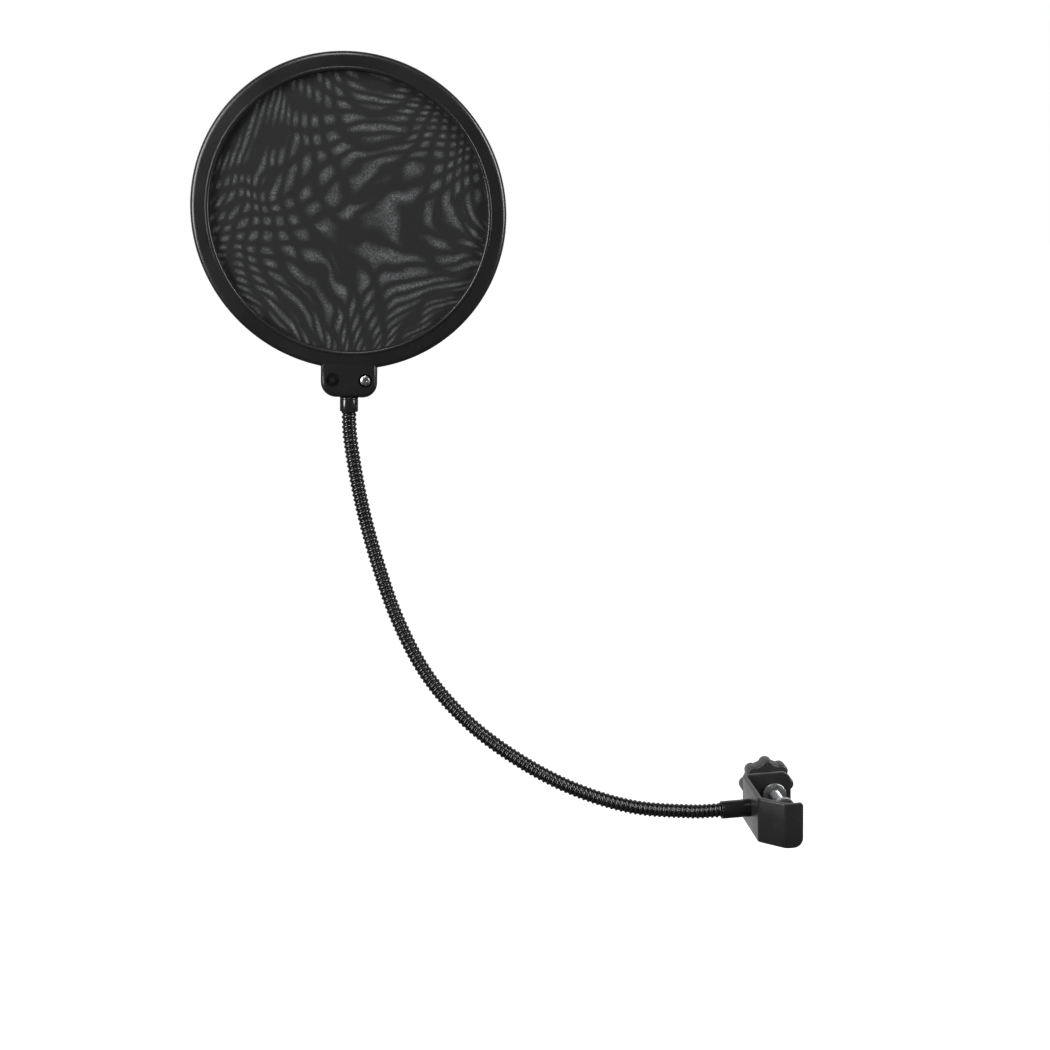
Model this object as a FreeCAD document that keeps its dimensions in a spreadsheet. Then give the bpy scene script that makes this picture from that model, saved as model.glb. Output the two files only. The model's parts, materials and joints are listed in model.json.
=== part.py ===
"""Pop filter: a stretched double screen in a round hoop, carried on a gooseneck by a screw clamp.

Millimetres, +Z up.  The origin is on the axis of the stand tube, seated in the clamp's jaw,
half way up the clamp.  The thumb screw works along Y: the jaw is on the -Y side, the knob on +Y.
"""
import FreeCAD, Part
import Sketcher
import math
import os

Vector = FreeCAD.Vector
X_AXIS, Y_AXIS, Z_AXIS = Vector(1, 0, 0), Vector(0, 1, 0), Vector(0, 0, 1)

DRIVING_SIZES = [
    # stand tube and clamp strip
    ("tube_radius", 10.0), ("strip_thick", 2.5), ("strip_height", 24.0), ("bend_inside", 0.6),
    ("lip_length", 9.0), ("slant_length", 17.0), ("web_length", 36.9), ("plate_reach", 9.5),
    ("lip_round_top", 1.5), ("lip_round_foot", 5.0), ("plate_round", 5.0),
    # thread bush riveted into the back plate
    ("bush_wall", 2.0), ("bush_flange_width", 1.5), ("bush_flange", 1.8), ("bush_rivet", 0.5),
    # thumb screw, its swivelling pad and its knob
    ("rod_radius", 3.0), ("running_gap", 0.05), ("cushion_thick", 1.5), ("pad_radius", 6.0),
    ("pad_length", 4.5), ("pad_floor", 1.0), ("button_radius", 2.5), ("button_length", 1.7),
    ("tip_neck_radius", 1.8), ("pad_back_gap", 0.2), ("knob_stand_off", 10.0),
    ("knob_radius", 14.5), ("flute_depth", 2.0), ("lobe_radius", 3.6), ("knob_length", 9.5),
    ("hex_radius", 5.6), ("hex_length", 4.0),
    # gooseneck and the ferrules on its ends
    ("neck_radius", 3.675), ("wrap_thick", 1.075), ("core_thick", 1.0), ("ferrule_wall", 1.025),
    ("lower_ferrule_length", 15.5), ("lower_socket", 8.0), ("upper_ferrule_length", 7.3),
    ("upper_socket", 5.0), ("socket_clearance", 0.5), ("ferrule_bevel", 0.4),
    ("socket_lip", 1.9), ("end_stretch", 16.0),
    # screws through the ferrules
    ("web_screw_radius", 2.0), ("web_screw_grip", 6.0), ("web_head_radius", 3.6),
    ("web_head_length", 2.2), ("washer_thick", 0.8), ("washer_radius", 3.9),
    ("swivel_radius", 1.5), ("swivel_head_radius", 2.7), ("swivel_head_length", 2.1),
    ("tab_floor", 3.15),
    # hoop, spacer, screens and bracket tab
    ("hoop_radius", 77.5), ("hoop_half", 4.0), ("hoop_round", 1.8), ("rim_width", 9.0),
    ("lip_bead", 0.25), ("bead_width", 1.1), ("window_inset", 9.4), ("seat_inset", 6.3),
    ("seat_gap", 0.2), ("spacer_half", 1.0), ("screen_thick", 0.3), ("tongue_inset", 3.5),
    ("tongue_half", 0.8), ("tongue_height", 1.0), ("tongue_gap", 0.1),
    ("tab_width", 28.3), ("tab_drop", 14.2), ("tab_corner", 7.5), ("tab_edge", 1.2),
    ("tab_root_inset", 4.5),
    # self-tapping screws that close the bracket
    ("case_screw_spread", 16.4), ("case_screw_drop", 5.3), ("case_screw_radius", 1.2),
    ("case_head_radius", 2.4), ("case_head_length", 1.5), ("counterbore_gap", 0.55),
    ("counterbore_depth", 1.9), ("case_screw_grip", 2.8), ("cross_width", 0.7),
    ("cross_length", 2.9), ("cross_depth", 0.9),
]
ELBOWS = 10
HEAD_TURN = 3.5
KNOB_LOBES = 8
BENDING_PLANE_SIDE = Vector(0.29, 0.957, 0)

# Run of the gooseneck's centre line from the mouth of the lower ferrule: poles of one cubic spline.
NECK_ROUTE = [
    (0, 0, 0), (-10, 0, 0), (-38, 1, 1), (-83, 8.5, 15),
    (-147.5, 29.5, 60), (-172, 50.5, 130.5), (-181.3, 54, 190), (-180, 54, 211),
]

doc = FreeCAD.newDocument("pop_filter")
nodes = []


class Size:
    """A number together with the sheet formula that gives it."""

    def __init__(self, number, formula):
        self.number = number
        self.formula = formula

    def _joined(self, other, sign, number):
        return Size(number, f"({self.formula} {sign} {as_size(other).formula})")

    def __add__(self, other):
        return self._joined(other, "+", self.number + as_size(other).number)

    def __sub__(self, other):
        return self._joined(other, "-", self.number - as_size(other).number)

    def __mul__(self, factor):
        return self._joined(factor, "*", self.number * as_size(factor).number)

    def __neg__(self):
        return self * -1


def as_size(value):
    """Give a plain number the same form as a size."""
    return value if isinstance(value, Size) else Size(float(value), f"({float(value)})")


class Sizes:
    """The driving dimensions, one sheet row each, read back as attributes."""

    def __init__(self, rows):
        self.sheet = doc.addObject("Spreadsheet::Sheet", "Sizes")
        for row, (alias, number) in enumerate(rows, 1):
            self.sheet.set(f"A{row}", alias)
            self.sheet.set(f"B{row}", str(number))
            self.sheet.setAlias(f"B{row}", alias)
        doc.recompute()
        for alias, _ in rows:
            setattr(self, alias, Size(float(self.sheet.get(alias)), f"Sizes.{alias}"))


s = Sizes(DRIVING_SIZES)


# ---------------------------------------------------------------- building helpers

def bind(item, **properties):
    """Tie properties of an object to the sheet."""
    for name, size in properties.items():
        item.setExpression(name, as_size(size).formula)
    return item


def bind_base(item, x=0, y=0, z=0):
    """Tie the position of an object to the sheet."""
    for letter, size in zip("xyz", (x, y, z)):
        item.setExpression(f"Placement.Base.{letter}", as_size(size).formula)
    return item


def turned_to(direction, base=Vector()):
    """Placement that carries local +Z onto a direction."""
    return FreeCAD.Placement(base, FreeCAD.Rotation(Z_AXIS, direction))


def node(item, label, placement=None):
    """Name a finished piece and put it in its place."""
    item.Label = label
    if placement is not None:
        item.Placement = placement
    nodes.append(item)
    return item


def cylinder(name, radius, height, placement=None):
    item = bind(doc.addObject("Part::Cylinder", name), Radius=radius, Height=height)
    if placement is not None:
        item.Placement = placement
    return item


def sphere(name, radius, centre):
    item = bind(doc.addObject("Part::Sphere", name), Radius=radius)
    item.Placement.Base = centre
    return item


def fuse(name, pieces):
    item = doc.addObject("Part::MultiFuse", name)
    item.Shapes = pieces
    return item


def cut(name, base, tools):
    item = doc.addObject("Part::Cut", name)
    item.Base = base
    item.Tool = tools[0] if len(tools) == 1 else fuse(name + "_tools", tools)
    return item


def new_body(name):
    return doc.addObject("PartDesign::Body", name)


def new_sketch(body, name, role):
    """Sketch on one of the body's own origin planes."""
    item = body.newObject("Sketcher::SketchObject", name)
    plane = [feature for feature in body.Origin.OriginFeatures if feature.Role == role][0]
    item.AttachmentSupport = [(plane, "")]
    item.MapMode = "FlatFace"
    return item


def fix_point(sketch, geometry, corner, x, y):
    """Dimension one point of a sketch from its origin, both ways."""
    for kind, size in (("DistanceX", as_size(x)), ("DistanceY", as_size(y))):
        rule = Sketcher.Constraint(kind, -1, 1, geometry, corner, size.number)
        number = sketch.addConstraint(rule)
        sketch.setExpression(f"Constraints[{number}]", size.formula)


def draw_outline(sketch, corners):
    """Closed run of straight lines whose corners are dimensioned."""
    points = [Vector(as_size(x).number, as_size(y).number, 0) for x, y in corners]
    count = len(points)
    for index, point in enumerate(points):
        sketch.addGeometry(Part.LineSegment(point, points[(index + 1) % count]))
    for index in range(count):
        sketch.addConstraint(Sketcher.Constraint("Coincident", index, 2, (index + 1) % count, 1))
    for index, (x, y) in enumerate(corners):
        fix_point(sketch, index, 1, x, y)


def draw_circle(sketch, x, y, radius):
    """Dimensioned circle."""
    centre = Vector(as_size(x).number, as_size(y).number, 0)
    index = sketch.addGeometry(Part.Circle(centre, Z_AXIS, radius.number))
    fix_point(sketch, index, 3, x, y)
    rule = sketch.addConstraint(Sketcher.Constraint("Radius", index, radius.number))
    sketch.setExpression(f"Constraints[{rule}]", radius.formula)


def pad(body, sketch, length, name):
    item = body.newObject("PartDesign::Pad", name)
    item.Profile = sketch
    return bind(item, Length=length)


def pocket(body, sketch, length, name, upwards):
    """Cut along +Z when upwards, else along -Z."""
    item = body.newObject("PartDesign::Pocket", name)
    item.Profile = sketch
    item.Reversed = upwards
    return bind(item, Length=length)


def revolve(body, sketch, name, kind="PartDesign::Revolution", axis="V_Axis"):
    item = body.newObject(kind, name)
    item.Profile = sketch
    item.ReferenceAxis = (sketch, [axis])
    item.Angle = 360.0
    return item


def turned(label, corners, placement=None):
    """Piece turned about its local Z axis from corners (radius, height)."""
    body = new_body(label)
    sketch = new_sketch(body, label + "_section", "XZ_Plane")
    draw_outline(sketch, corners)
    revolve(body, sketch, label + "_turned")
    return node(body, label, placement) if placement is not None else body


def ring_corners(inner, outer, low, high):
    return [(inner, low), (outer, low), (outer, high), (inner, high)]


def fillet_edges(body, base, picks, radius, name):
    """Round the edges of a feature that a test picks."""
    doc.recompute()
    chosen = [f"Edge{number}" for number, edge in enumerate(base.Shape.Edges, 1) if picks(edge)]
    item = body.newObject("PartDesign::Fillet", name)
    item.Base = (base, chosen)
    return bind(item, Radius=radius)


# ---------------------------------------------------------------- clamp

strip_back = s.tube_radius + s.strip_thick
bend_outside = s.bend_inside + s.strip_thick
apex_x = strip_back * -math.tan(math.radians(22.5))
web_x = apex_x - s.slant_length * math.cos(math.radians(45))
web_front_y = s.slant_length * math.sin(math.radians(45)) - strip_back
plate_y = web_front_y + s.web_length
ferrule_y = web_front_y + s.web_length * 0.5
half_height = s.strip_height * 0.5
bush_radius = s.rod_radius + s.bush_wall


def round_box_corners(base, name, corners):
    """Round upright corners of a strip's free end: corners holds (edge test, radius)."""
    doc.recompute()
    item = doc.addObject("Part::Fillet", name)
    item.Base = base
    item.Edges = [(number, radius.number, radius.number)
                  for number, edge in enumerate(base.Shape.Edges, 1)
                  for test, radius in corners if test(edge)]
    return item


def strip_flat(name, length, start, heading):
    """Flat run of strip; its outer face starts at a point and runs along a heading."""
    item = bind(doc.addObject("Part::Box", name), Length=length, Width=s.strip_thick,
                Height=s.strip_height)
    item.Placement = FreeCAD.Placement(start, FreeCAD.Rotation(Z_AXIS, heading))
    return item


def strip_bend(name, start, heading, turn):
    """Bend to the left through an angle, starting at a point of the outer face."""
    left = Vector(-math.sin(math.radians(heading)), math.cos(math.radians(heading)), 0)
    centre = start + left * bend_outside.number
    placement = FreeCAD.Placement(centre, FreeCAD.Rotation(Z_AXIS, heading - 90))
    outer = cylinder(name + "_outer", bend_outside, s.strip_height, placement)
    inner = cylinder(name + "_inner", s.bend_inside, s.strip_height, placement)
    outer.Angle = turn
    return cut(name, outer, [inner])


def at_free_end(edge, point, height):
    """True for the short edge through the strip's thickness at a free end corner."""
    middle = edge.BoundBox.Center
    flat = Vector(middle.x - point.x, middle.y - point.y, 0)
    return flat.Length < s.strip_thick.number and abs(middle.z - height) < 0.01 \
        and abs(edge.Length - s.strip_thick.number) < 0.01


def build_clamp_frame():
    """Bent strip: back plate, web, slanted jaw face and jaw lip, drawn as one left-turning run."""
    half = half_height.number
    runs = [("back_plate", s.plate_reach - web_x, 180, 90), ("web", s.web_length, 270, 45),
            ("jaw_slant", s.slant_length, 315, 45), ("jaw_lip", s.lip_length, 0, 0)]
    start = Vector(s.plate_reach.number, plate_y.number, -half)
    pieces = []
    taken = as_size(0)
    for name, length, heading, turn in runs:
        given = bend_outside * math.tan(math.radians(turn / 2))
        ahead = Vector(math.cos(math.radians(heading)), math.sin(math.radians(heading)), 0)
        flat_length = length - taken - given
        flat = strip_flat(name, flat_length, start, heading)
        end = start + ahead * flat_length.number
        if name == "back_plate":
            flat = round_box_corners(flat, "back_plate_rounded", [
                (lambda edge: at_free_end(edge, start, half), s.plate_round),
                (lambda edge: at_free_end(edge, start, -half), s.plate_round)])
        if name == "jaw_lip":
            flat = round_box_corners(flat, "jaw_lip_rounded", [
                (lambda edge: at_free_end(edge, end, half), s.lip_round_top),
                (lambda edge: at_free_end(edge, end, -half), s.lip_round_foot)])
        pieces.append(flat)
        if turn:
            pieces.append(strip_bend(name + "_bend", end, heading, turn))
            leaving = math.radians(heading + turn)
            start = end + (ahead + Vector(math.cos(leaving), math.sin(leaving), 0)) * given.number
        taken = given
    strip = fuse("strip", pieces)
    bush_hole = cylinder("bush_hole", bush_radius, s.strip_thick * 3, turned_to(Y_AXIS))
    bind_base(bush_hole, 0, plate_y - s.strip_thick * 2, 0)
    screw_hole = cylinder("web_screw_hole", s.web_screw_radius + s.running_gap,
                          s.strip_thick * 3, turned_to(X_AXIS))
    bind_base(screw_hole, web_x - s.strip_thick, ferrule_y, 0)
    node(cut("clamp_frame_cut", strip, [bush_hole, screw_hole]), "clamp_frame")


def build_thread_bush():
    """Flanged bush, riveted over on the outside of the back plate."""
    bore = s.rod_radius + s.running_gap
    top = s.bush_flange + s.strip_thick
    flange_radius = bush_radius + s.bush_flange_width
    rivet_radius = bush_radius + s.bush_rivet
    turned("thread_bush", [
        (bore, 0), (flange_radius, 0), (flange_radius, s.bush_flange),
        (bush_radius, s.bush_flange), (bush_radius, top), (rivet_radius, top),
        (rivet_radius, top + s.bush_rivet), (bore, top + s.bush_rivet),
    ], turned_to(Y_AXIS, Vector(0, (plate_y - s.strip_thick - s.bush_flange).number, 0)))


# The thumb screw group is laid out along local Z, from the pad's face at 0 towards the knob.
pad_floor_top = s.cushion_thick + s.pad_floor
pad_top = s.cushion_thick + s.pad_length
knob_face = plate_y + s.knob_stand_off - s.tube_radius
knob_back = knob_face + s.knob_length
thumb_frame = turned_to(Y_AXIS, Vector(0, s.tube_radius.number, 0))
core_radius = s.neck_radius - s.wrap_thick
core_bore = core_radius - s.core_thick
ferrule_radius = s.neck_radius + s.ferrule_wall


def build_pressure_pad():
    """Swivelling cup and the rubber cushion on its face."""
    cavity_radius = s.button_radius + s.pad_back_gap
    mouth_radius = s.tip_neck_radius + s.pad_back_gap
    cavity_top = pad_floor_top + s.button_length + s.pad_back_gap
    turned("pressure_pad", [
        (0, s.cushion_thick), (s.pad_radius, s.cushion_thick), (s.pad_radius, pad_top),
        (mouth_radius, pad_top), (mouth_radius, cavity_top), (cavity_radius, cavity_top),
        (cavity_radius, pad_floor_top), (0, pad_floor_top),
    ], thumb_frame)
    turned("pad_cushion", [(0, 0), (s.pad_radius, 0), (s.pad_radius, s.cushion_thick),
                           (0, s.cushion_thick)], thumb_frame)


def hexagon(body, name, size, height):
    """Sketch of a hexagon at a height, its corners at a radius."""
    sketch = new_sketch(body, name, "XY_Plane")
    bind(sketch, **{"AttachmentOffset.Base.z": height})
    draw_outline(sketch, [(size * math.cos(math.radians(60 * k)),
                           size * math.sin(math.radians(60 * k))) for k in range(6)])
    return sketch


def build_clamp_screw():
    """Threaded rod with a captive button on its tip and a hexagon head sunk in the knob."""
    button_foot = pad_floor_top + s.running_gap
    button_top = button_foot + s.button_length
    shoulder = pad_top + s.pad_back_gap
    head_foot = knob_back - s.hex_length
    body = turned("clamp_screw", [
        (0, button_foot), (s.button_radius, button_foot), (s.button_radius, button_top),
        (s.tip_neck_radius, button_top), (s.tip_neck_radius, shoulder), (s.rod_radius, shoulder),
        (s.rod_radius, head_foot), (0, head_foot),
    ])
    pad(body, hexagon(body, "hex_outline", s.hex_radius, head_foot), s.hex_length, "hex_head")
    node(body, "clamp_screw", thumb_frame)


def build_clamp_knob():
    """Lobed knob moulded round the screw's head."""
    body = new_body("clamp_knob")
    disc = new_sketch(body, "knob_disc", "XY_Plane")
    draw_circle(disc, 0, 0, s.knob_radius - s.flute_depth)
    pad(body, disc, s.knob_length, "knob_core")
    lobe = new_sketch(body, "knob_lobe", "XY_Plane")
    draw_circle(lobe, s.knob_radius - s.lobe_radius, 0, s.lobe_radius)
    first_lobe = pad(body, lobe, s.knob_length, "knob_lobe_pad")
    lobes = body.newObject("PartDesign::PolarPattern", "knob_lobes")
    lobes.Originals = [first_lobe]
    lobes.Axis = (lobe, ["N_Axis"])
    lobes.Angle = 360
    lobes.Occurrences = KNOB_LOBES
    body.Tip = lobes
    rod_hole = new_sketch(body, "rod_hole", "XY_Plane")
    draw_circle(rod_hole, 0, 0, s.rod_radius)
    pocket(body, rod_hole, s.knob_length, "rod_hole_cut", True)
    sunk = hexagon(body, "hex_sunk", s.hex_radius, s.knob_length - s.hex_length)
    pocket(body, sunk, s.hex_length, "hex_sunk_cut", True)
    place = FreeCAD.Placement(thumb_frame)
    place.Base = thumb_frame.multVec(Vector(0, 0, knob_face.number))
    node(body, "clamp_knob", place)


def build_lower_ferrule():
    """Socket for the neck's foot, with the screw and lock washer that hold it to the web."""
    depth = s.lower_ferrule_length
    place = turned_to(-X_AXIS, Vector(web_x.number, ferrule_y.number, 0))
    edge = ferrule_radius - s.ferrule_bevel
    turned("lower_ferrule", [
        (s.web_screw_radius, 0), (ferrule_radius, 0), (ferrule_radius, depth - s.ferrule_bevel),
        (edge, depth), (s.neck_radius, depth), (s.neck_radius, depth - s.lower_socket),
        (s.web_screw_radius, depth - s.lower_socket),
    ], place)
    inside = -s.strip_thick
    under_head = inside - s.washer_thick
    turned("ferrule_screw", [
        (0, s.web_screw_grip), (s.web_screw_radius, s.web_screw_grip),
        (s.web_screw_radius, under_head), (s.web_head_radius, under_head),
        (s.web_head_radius, under_head - s.web_head_length), (0, under_head - s.web_head_length),
    ], place)
    turned("ferrule_lock_washer", ring_corners(s.web_screw_radius + s.running_gap,
                                               s.washer_radius, under_head, inside), place)


# ---------------------------------------------------------------- gooseneck

neck_foot = Vector((web_x - s.lower_ferrule_length).number, ferrule_y.number, 0)
route = [neck_foot + Vector(*point) for point in NECK_ROUTE]
neck_line = Part.BSplineCurve()
neck_line.buildFromPoles(route, False, 3)
neck_length = neck_line.length()


def along_neck(distance):
    """Point and direction of the neck's centre line at a distance from its foot."""
    where = neck_line.parameterAtDistance(distance, neck_line.FirstParameter)
    return neck_line.value(where), Vector(*neck_line.tangent(where)[0])


def elbow_distances():
    """Distances at which the neck is hinged: a short stretch at each end, equal ones between."""
    end = s.end_stretch.number
    step = (neck_length - 2 * end) / (ELBOWS - 1)
    return [end + step * index for index in range(ELBOWS)]


def elbow_axis(index, direction):
    """Hinge axes take turns: in the neck's bending plane, then sideways."""
    flat = BENDING_PLANE_SIDE - direction * BENDING_PLANE_SIDE.dot(direction)
    flat.normalize()
    return flat if index % 2 == 0 else direction.cross(flat)


def arc_tube(name, radius, points, before, after):
    """Curved tube round the circle through three points, run on past its ends by two lengths."""
    circle = Part.Circle(*points)
    first, last = (point - circle.Center for point in (points[0], points[2]))
    axis = first.cross(last).normalize()
    degrees_per_mm = math.degrees(1 / circle.Radius)
    rotation = FreeCAD.Rotation(first, axis.cross(first), axis, "ZXY")
    turn_back = FreeCAD.Rotation(Z_AXIS, -before.number * degrees_per_mm)
    item = bind(doc.addObject("Part::Torus", name), Radius2=radius)
    item.Radius1 = circle.Radius
    item.Angle3 = math.degrees(first.getAngle(last)) + (before + after).number * degrees_per_mm
    item.Placement = FreeCAD.Placement(circle.Center, rotation.multiply(turn_back))
    return item


def neck_layer(label, radii, points, inserts, added, removed):
    """One layer of a stretch: a curved tube with a ball added and a socket taken away."""
    outer, inner = radii
    before, after = inserts
    tube = arc_tube(label + "_tube", outer, points, before, after)
    solid = fuse(label + "_solid", [tube] + added) if added else tube
    past = s.neck_radius * 2
    bore = arc_tube(label + "_bore", inner, points, before + past, after + past)
    node(cut(label + "_layer", solid, [bore] + removed), label)


def near_end_trim(name, start, way, reach):
    """Cylinder that takes away the near end of a layer, up to a reach past the elbow's centre."""
    back = start - way * s.neck_radius.number
    return cylinder(name, s.neck_radius * 1.5, s.neck_radius + reach, turned_to(way, back))


def build_neck():
    """Stretches of the neck: each has a ball at its far end and a socket at its near end."""
    stops = [0.0] + elbow_distances() + [neck_length]
    nothing = as_size(0)
    socket_radius = s.neck_radius + s.running_gap
    for index in range(ELBOWS + 1):
        near, far = stops[index], stops[index + 1]
        stations = [along_neck(distance) for distance in (near, (near + far) / 2, far)]
        points = [point for point, _ in stations]
        start, start_way = stations[0]
        number = f"{index + 1:02d}"
        inserts = (s.lower_socket - s.socket_clearance if index == 0 else nothing,
                   s.upper_socket - s.socket_clearance if index == ELBOWS else nothing)
        balls, sockets, core_trims = [], [], []
        if index < ELBOWS:
            balls.append(sphere("ball_" + number, s.neck_radius - s.running_gap, points[2]))
        if index > 0:
            sockets.append(sphere("socket_" + number, socket_radius, start))
            sockets.append(near_end_trim("lip_" + number, start, start_way, s.socket_lip))
            core_trims.append(near_end_trim("core_lip_" + number, start, start_way,
                                            socket_radius))
        neck_layer("neck_wrap_" + number, (s.neck_radius, core_radius), points, inserts,
                   balls, sockets)
        neck_layer("neck_core_" + number, (core_radius, core_bore), points, inserts,
                   [], core_trims)


# ---------------------------------------------------------------- upper ferrule and head

neck_end, up = along_neck(neck_length)
ferrule_place = turned_to(up, neck_end)
tab_foot = s.hoop_radius + s.tab_drop
hoop_centre = neck_end + up * (s.upper_ferrule_length + s.running_gap + tab_foot).number
facing = FreeCAD.Rotation(Z_AXIS, up).multiply(FreeCAD.Rotation(Z_AXIS, -HEAD_TURN))
head_front = FreeCAD.Placement(hoop_centre, facing.multiply(FreeCAD.Rotation(X_AXIS, 90)))
head_rear = head_front.multiply(FreeCAD.Placement(Vector(), FreeCAD.Rotation(Y_AXIS, 180)))
seat_depth = s.spacer_half + s.screen_thick
lip_radius = s.hoop_radius - s.rim_width
window_radius = s.hoop_radius - s.window_inset
seat_radius = s.hoop_radius - s.seat_inset
tongue_radius = s.hoop_radius - s.tongue_inset
tab_root = s.hoop_radius - s.tab_root_inset
counterbore_radius = s.case_head_radius + s.counterbore_gap


def build_upper_ferrule():
    """Ferrule on the neck's end and the screw on which the head swivels."""
    length = s.upper_ferrule_length
    edge = ferrule_radius - s.ferrule_bevel
    turned("upper_ferrule", [
        (s.neck_radius, 0), (edge, 0), (ferrule_radius, s.ferrule_bevel),
        (ferrule_radius, length), (s.swivel_radius, length), (s.swivel_radius, s.upper_socket),
        (s.neck_radius, s.upper_socket),
    ], ferrule_place)
    head_foot = length + s.tab_floor + s.running_gap * 2
    turned("swivel_screw", [
        (0, s.upper_socket), (s.swivel_radius, s.upper_socket), (s.swivel_radius, head_foot),
        (s.swivel_head_radius, head_foot), (s.swivel_head_radius, head_foot + s.swivel_head_length),
        (0, head_foot + s.swivel_head_length),
    ], ferrule_place)


def hoop_section():
    """Half section of one hoop: flat seat for a screen, sloped window, beaded lip, round rim."""
    top = s.hoop_half
    bead_top = top + s.lip_bead
    rim = s.hoop_radius
    corners = [(seat_radius, 0), (seat_radius, seat_depth), (window_radius, seat_depth),
               (lip_radius - s.bead_width, bead_top), (lip_radius, bead_top),
               (lip_radius + s.lip_bead, top)]
    return corners + [(rim, top), (rim, 0)]


def is_rim_edge(edge):
    """Round edge of the rim at the face."""
    box = edge.BoundBox
    return abs(box.ZMax - s.hoop_half.number) < 0.01 and box.ZLength < 0.01 \
        and abs(box.XLength - 2 * s.hoop_radius.number) < 0.1


def is_tab_corner(edge):
    """Upright edge at a lower corner of the tab."""
    box = edge.BoundBox
    return box.ZLength > 0.9 * s.hoop_half.number \
        and abs(box.Center.y + tab_foot.number) < 0.01


def is_tab_face_edge(edge):
    """Edge round the tab's face, its root left out."""
    box = edge.BoundBox
    return box.ZLength < 0.01 and abs(box.ZMax - s.hoop_half.number) < 0.01 \
        and box.Center.y < -tab_root.number - 0.01


def build_hoop(label, is_front):
    """Hoop with its half of the bracket tab, in one moulding."""
    ring = turned(label + "_ring", hoop_section())
    doc.recompute()
    fillet_edges(ring, ring.Tip, is_rim_edge, s.hoop_round, label + "_rim_round")
    body = new_body(label + "_tab")
    outline = new_sketch(body, label + "_tab_outline", "XY_Plane")
    half = s.tab_width * 0.5
    draw_outline(outline, [(-half, -tab_foot), (half, -tab_foot), (half, -tab_root),
                           (-half, -tab_root)])
    slab = pad(body, outline, s.hoop_half, label + "_tab_pad")
    corners = fillet_edges(body, slab, is_tab_corner, s.tab_corner, label + "_tab_corners")
    fillet_edges(body, corners, is_tab_face_edge, s.tab_edge, label + "_tab_edge")
    spread = s.case_screw_spread * 0.5
    drop = -(s.hoop_radius + s.case_screw_drop)
    tools = [swivel_pocket(label)]
    added = [ring, body]
    if is_front:
        groove = ring_corners(tongue_radius - s.tongue_half - s.tongue_gap,
                              tongue_radius + s.tongue_half + s.tongue_gap,
                              0, s.tongue_height + s.tongue_gap)
        tools.append(turned(label + "_groove", groove))
        holes = ((s.case_screw_radius + s.tongue_gap, s.hoop_half, 0),
                 (counterbore_radius, s.hoop_half, s.hoop_half - s.counterbore_depth))
    else:
        tongue = ring_corners(tongue_radius - s.tongue_half, tongue_radius + s.tongue_half,
                              -s.tongue_height, 0)
        added.append(turned(label + "_tongue", tongue))
        holes = ((s.case_screw_radius, s.case_screw_grip, 0),)
    for side in (-1, 1):
        for order, (radius, height, foot) in enumerate(holes):
            hole = cylinder(f"{label}_hole_{side + 1}{order}", radius, height)
            tools.append(bind_base(hole, spread * side, drop, foot))
    place = head_front if is_front else head_rear
    node(cut(label + "_cut", fuse(label + "_solid", added), tools), label, place)


def swivel_pocket(label):
    """Pocket for the swivel screw's head and the passage for its shank."""
    head_length = s.swivel_head_length + s.running_gap * 2
    shank = cylinder(label + "_shank_way", s.swivel_radius + s.running_gap, s.tab_floor * 2,
                     turned_to(Y_AXIS))
    bind_base(shank, 0, -(tab_foot + s.tab_floor), 0)
    chamber = cylinder(label + "_head_way", s.swivel_head_radius + s.running_gap, head_length,
                       turned_to(Y_AXIS))
    bind_base(chamber, 0, s.tab_floor - tab_foot, 0)
    return fuse(label + "_swivel_way", [shank, chamber])


def build_screens():
    """Two stretched screens with the spacer ring between them."""
    outer = seat_radius - s.seat_gap
    turned("spacer_ring", ring_corners(window_radius, outer, -s.spacer_half, s.spacer_half),
           head_front)
    for label, place in (("front_screen", head_front), ("rear_screen", head_rear)):
        turned(label, [(0, s.spacer_half), (outer, s.spacer_half), (outer, seat_depth),
                       (0, seat_depth)], place)


def build_bracket_screws():
    """Pair of self-tapping screws with crossed recesses."""
    under_head = s.hoop_half - s.counterbore_depth
    head_top = under_head + s.case_head_length
    pair = []
    for side in (-1, 1):
        blank = turned(f"bracket_screw_blank_{side + 1}", [
            (0, -s.case_screw_grip), (s.case_screw_radius, -s.case_screw_grip),
            (s.case_screw_radius, under_head), (s.case_head_radius, under_head),
            (s.case_head_radius, head_top), (0, head_top)])
        slots = []
        for order, (length, width) in enumerate(((s.cross_length, s.cross_width),
                                                 (s.cross_width, s.cross_length))):
            slot = bind(doc.addObject("Part::Box", f"cross_{side + 1}{order}"), Length=length,
                        Width=width, Height=s.cross_depth * 2)
            slots.append(bind_base(slot, -length * 0.5, -width * 0.5, head_top - s.cross_depth))
        screw = cut(f"bracket_screw_{side + 1}", blank, slots)
        bind_base(screw, s.case_screw_spread * (0.5 * side),
                  -(s.hoop_radius + s.case_screw_drop), 0)
        pair.append(screw)
    group = doc.addObject("Part::Compound", "bracket_screw_pair")
    group.Links = pair
    node(group, "bracket_screws", head_front)


# ---------------------------------------------------------------- checks and files

def check_document():
    """Stop if any object failed or any piece is not a sound solid."""
    for item in doc.Objects:
        bad = {"Invalid", "Error"} & set(item.State)
        if bad:
            raise RuntimeError(f"{item.Label} failed: {item.State}")
    labels = [item.Label for item in nodes]
    if len(set(labels)) != len(labels):
        raise RuntimeError("two pieces share a name")
    for item in nodes:
        shape = item.Shape
        if shape.isNull() or not shape.isValid() or not shape.Solids:
            raise RuntimeError(f"{item.Label} is not a sound solid")
        if min(solid.Volume for solid in shape.Solids) <= 0:
            raise RuntimeError(f"{item.Label} has an empty solid")


def write_parts():
    os.makedirs("parts", exist_ok=True)
    for item in nodes:
        item.Shape.exportStep(f"parts/{item.Label}.step")


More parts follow.
